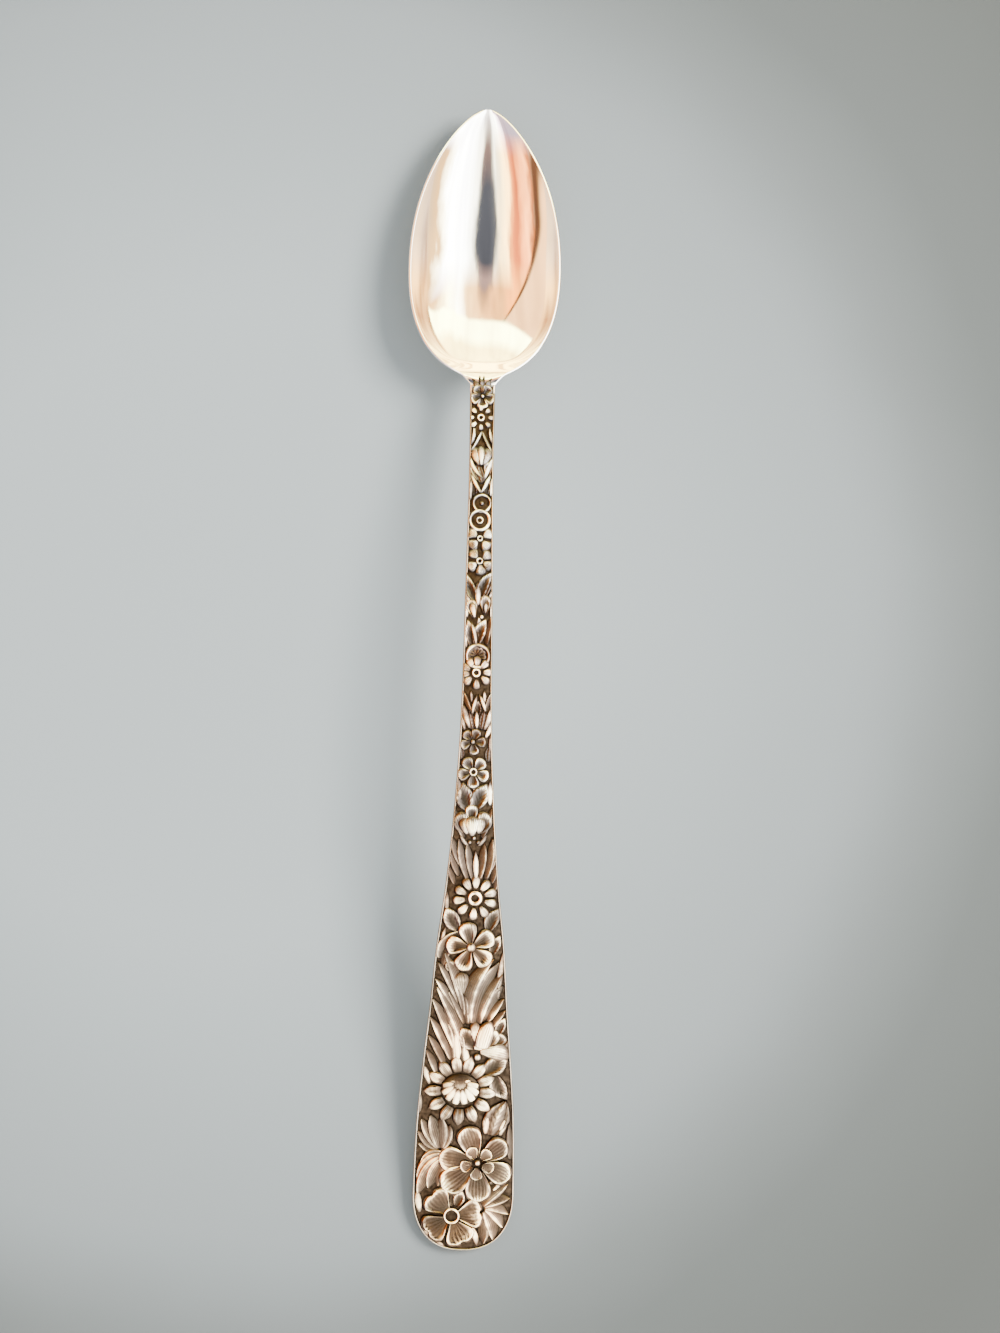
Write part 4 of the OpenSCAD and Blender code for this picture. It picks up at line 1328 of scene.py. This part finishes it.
# %% Walls and window
WAVER, CURVE_BEYOND, CURVE_RAISED = 0.28, 1.45, 0.28
parts = node(tree, "ShaderNodeSeparateXYZ")
link(tree, direction, parts.inputs["Vector"])
waver = maths(tree, "MULTIPLY_ADD", soft_noise(stretch=(2.6, 1.5, 1), scale=2.2, detail=5), WAVER, -WAVER / 2)
x = maths(tree, "ADD", parts.outputs["X"], waver)
y = parts.outputs["Y"]
middle_wall, near_wall, far_wall = seen(x, MIDDLE_WALL), seen(x, NEAR_WALL), seen(x, FAR_WALL)
room = blend(fade(y, low=-0.44, high=-0.3), near_wall, middle_wall)
room = blend(fade(y, low=0.22, high=0.44), room, far_wall)
ahead = maths(tree, "MAXIMUM", y, 0)
leftwards = maths(tree, "MULTIPLY", parts.outputs["X"], -1)
beyond = maths(tree, "MULTIPLY_ADD", maths(tree, "MULTIPLY", ahead, ahead), CURVE_BEYOND, leftwards)
room = blend(fade(beyond, low=0.935, high=0.95), room, EAVES)
room = blend(fade(beyond, low=0.975, high=0.99), room, DUSK)
right = maths(tree, "MAXIMUM", x, 0)
raised = maths(tree, "MULTIPLY_ADD", maths(tree, "MULTIPLY", right, right), CURVE_RAISED, y)
room = blend(fade(raised, low=0.66, high=0.685), room, CREAM)
room = blend(fade(raised, low=0.78, high=0.84), room, AMBER)

# %% Dark patch overhead
DARK_BROWN, DUSTY_BROWN, NEARLY_BLACK = (0.085, 0.055, 0.043), (0.15, 0.095, 0.075), (0.022, 0.023, 0.026)


def oval(middle_x, reach_x, middle_y, reach_y):
    out_x = maths(tree, "POWER", maths(tree, "MULTIPLY_ADD", x, 1 / reach_x, -middle_x / reach_x), 2)
    out_y = maths(tree, "POWER", maths(tree, "MULTIPLY_ADD", y, 1 / reach_y, -middle_y / reach_y), 2)
    return maths(tree, "ADD", out_x, out_y)


room = blend(fade(oval(middle_x=0.02, reach_x=0.17, middle_y=0.05, reach_y=0.62), low=0.95, high=0.35), room,
             DARK_BROWN)
room = blend(fade(oval(middle_x=0.02, reach_x=0.11, middle_y=0.3, reach_y=0.2), low=0.95, high=0.3), room,
             DUSTY_BROWN)
room = blend(fade(oval(middle_x=0, reach_x=0.25, middle_y=0.04, reach_y=0.35), low=0.95, high=0.4), room,
             NEARLY_BLACK)
print("nodes in the sky so far", len(tree.nodes))

# %% [markdown]
# Near the heel a ray meets the silver twice before it leaves the bowl, and a real bowl shows a second, folded
# picture there. The sky tells such rays by their depth and gives them a wall of their own, in soft bands.

# %% Second bounces
SECOND_BOUNCE = 2.5
TWICE_WALL = [
    (-1, (0.38, 0.28, 0.19)), (0, (0.36, 0.26, 0.17)), (0.12, (0.5, 0.35, 0.21)), (0.3, (0.7, 0.4, 0.13)),
    (0.5, (0.42, 0.22, 0.08)), (0.66, (0.7, 0.45, 0.17)), (0.76, (1.25, 0.95, 0.33)),
    (0.93, (1.6, 1.15, 0.38))]
BANDS = [(0.38, (0.5, 0.42, 0.38)), (0.5, grey(1)), (0.66, (1.35, 1.3, 1.1))]
STREAKS = [(0.3, (0.72, 0.7, 0.72)), (0.55, grey(1)), (0.75, grey(1.15))]
path = node(tree, "ShaderNodeLightPath")
bands = ramp(tree, soft_noise(stretch=(5, 0.5, 1), scale=2.6, detail=2), BANDS)
twice = blend(1.0, seen(y, TWICE_WALL), bands, "MULTIPLY")
room = blend(maths(tree, "GREATER_THAN", path.outputs["Ray Depth"], SECOND_BOUNCE), room, twice)
streaks = ramp(tree, soft_noise(stretch=(3, 0.7, 1), scale=1.6, detail=2), STREAKS)
room = blend(1.0, room, streaks, "MULTIPLY")

# %% Light from the sky and the window
SOFT_LIGHT, SKY_STRENGTH = (0.19, 0.197, 0.205), 9
WINDOW_PLACE, WINDOW_SIZE, WINDOW_POWER = (0.75, 0.3, 0.8), 0.5, 43
WINDOW_WHITE = (1, 0.98, 0.95)
link(tree, blend(path.outputs["Is Glossy Ray"], SOFT_LIGHT, room), sky.inputs["Color"])
sky.inputs["Strength"].default_value = SKY_STRENGTH


def lamp(name, place, size, power, colour):
    data = bpy.data.lights.new(name, "AREA")
    data.size = size
    data.energy = power
    data.color = colour
    made = bpy.data.objects.new(name, data)
    made.location = place
    made.rotation_euler = (-made.location).to_track_quat("-Z", "Y").to_euler()
    made.visible_glossy = False
    bpy.context.collection.objects.link(made)


lamp("window", WINDOW_PLACE, WINDOW_SIZE, WINDOW_POWER, WINDOW_WHITE)
print("sky strength", SKY_STRENGTH, "window", WINDOW_POWER, "W")

# %% [markdown]
# The photograph looks almost straight down, with the spoon turned about one degree clockwise in the picture.
# The camera's distance only sets how much the arch grows towards it, and its lens follows from the frame.

# %% Camera
FRAME_H = 1333
MM_PER_PIXEL = 0.16826 * MM
DISTANCE = 0.45
SENSOR = 36
AIM = mathutils.Vector((4.26 * MM, 2.74 * MM, 0))
ROLL, TILT = math.radians(1.3), math.radians(2.2)
camera_data = bpy.data.cameras.new("camera")
camera = bpy.data.objects.new("camera", camera_data)
bpy.context.collection.objects.link(camera)
camera_data.sensor_fit = "VERTICAL"
camera_data.sensor_height = SENSOR
camera_data.lens = SENSOR * DISTANCE / (FRAME_H * MM_PER_PIXEL)
camera.rotation_euler = (0, -TILT, ROLL)
camera.location = AIM + camera.rotation_euler.to_matrix() @ mathutils.Vector((0, 0, DISTANCE))
bpy.context.scene.camera = camera
print("camera lens", round(camera_data.lens, 1), "mm at", [round(c, 3) for c in camera.location])
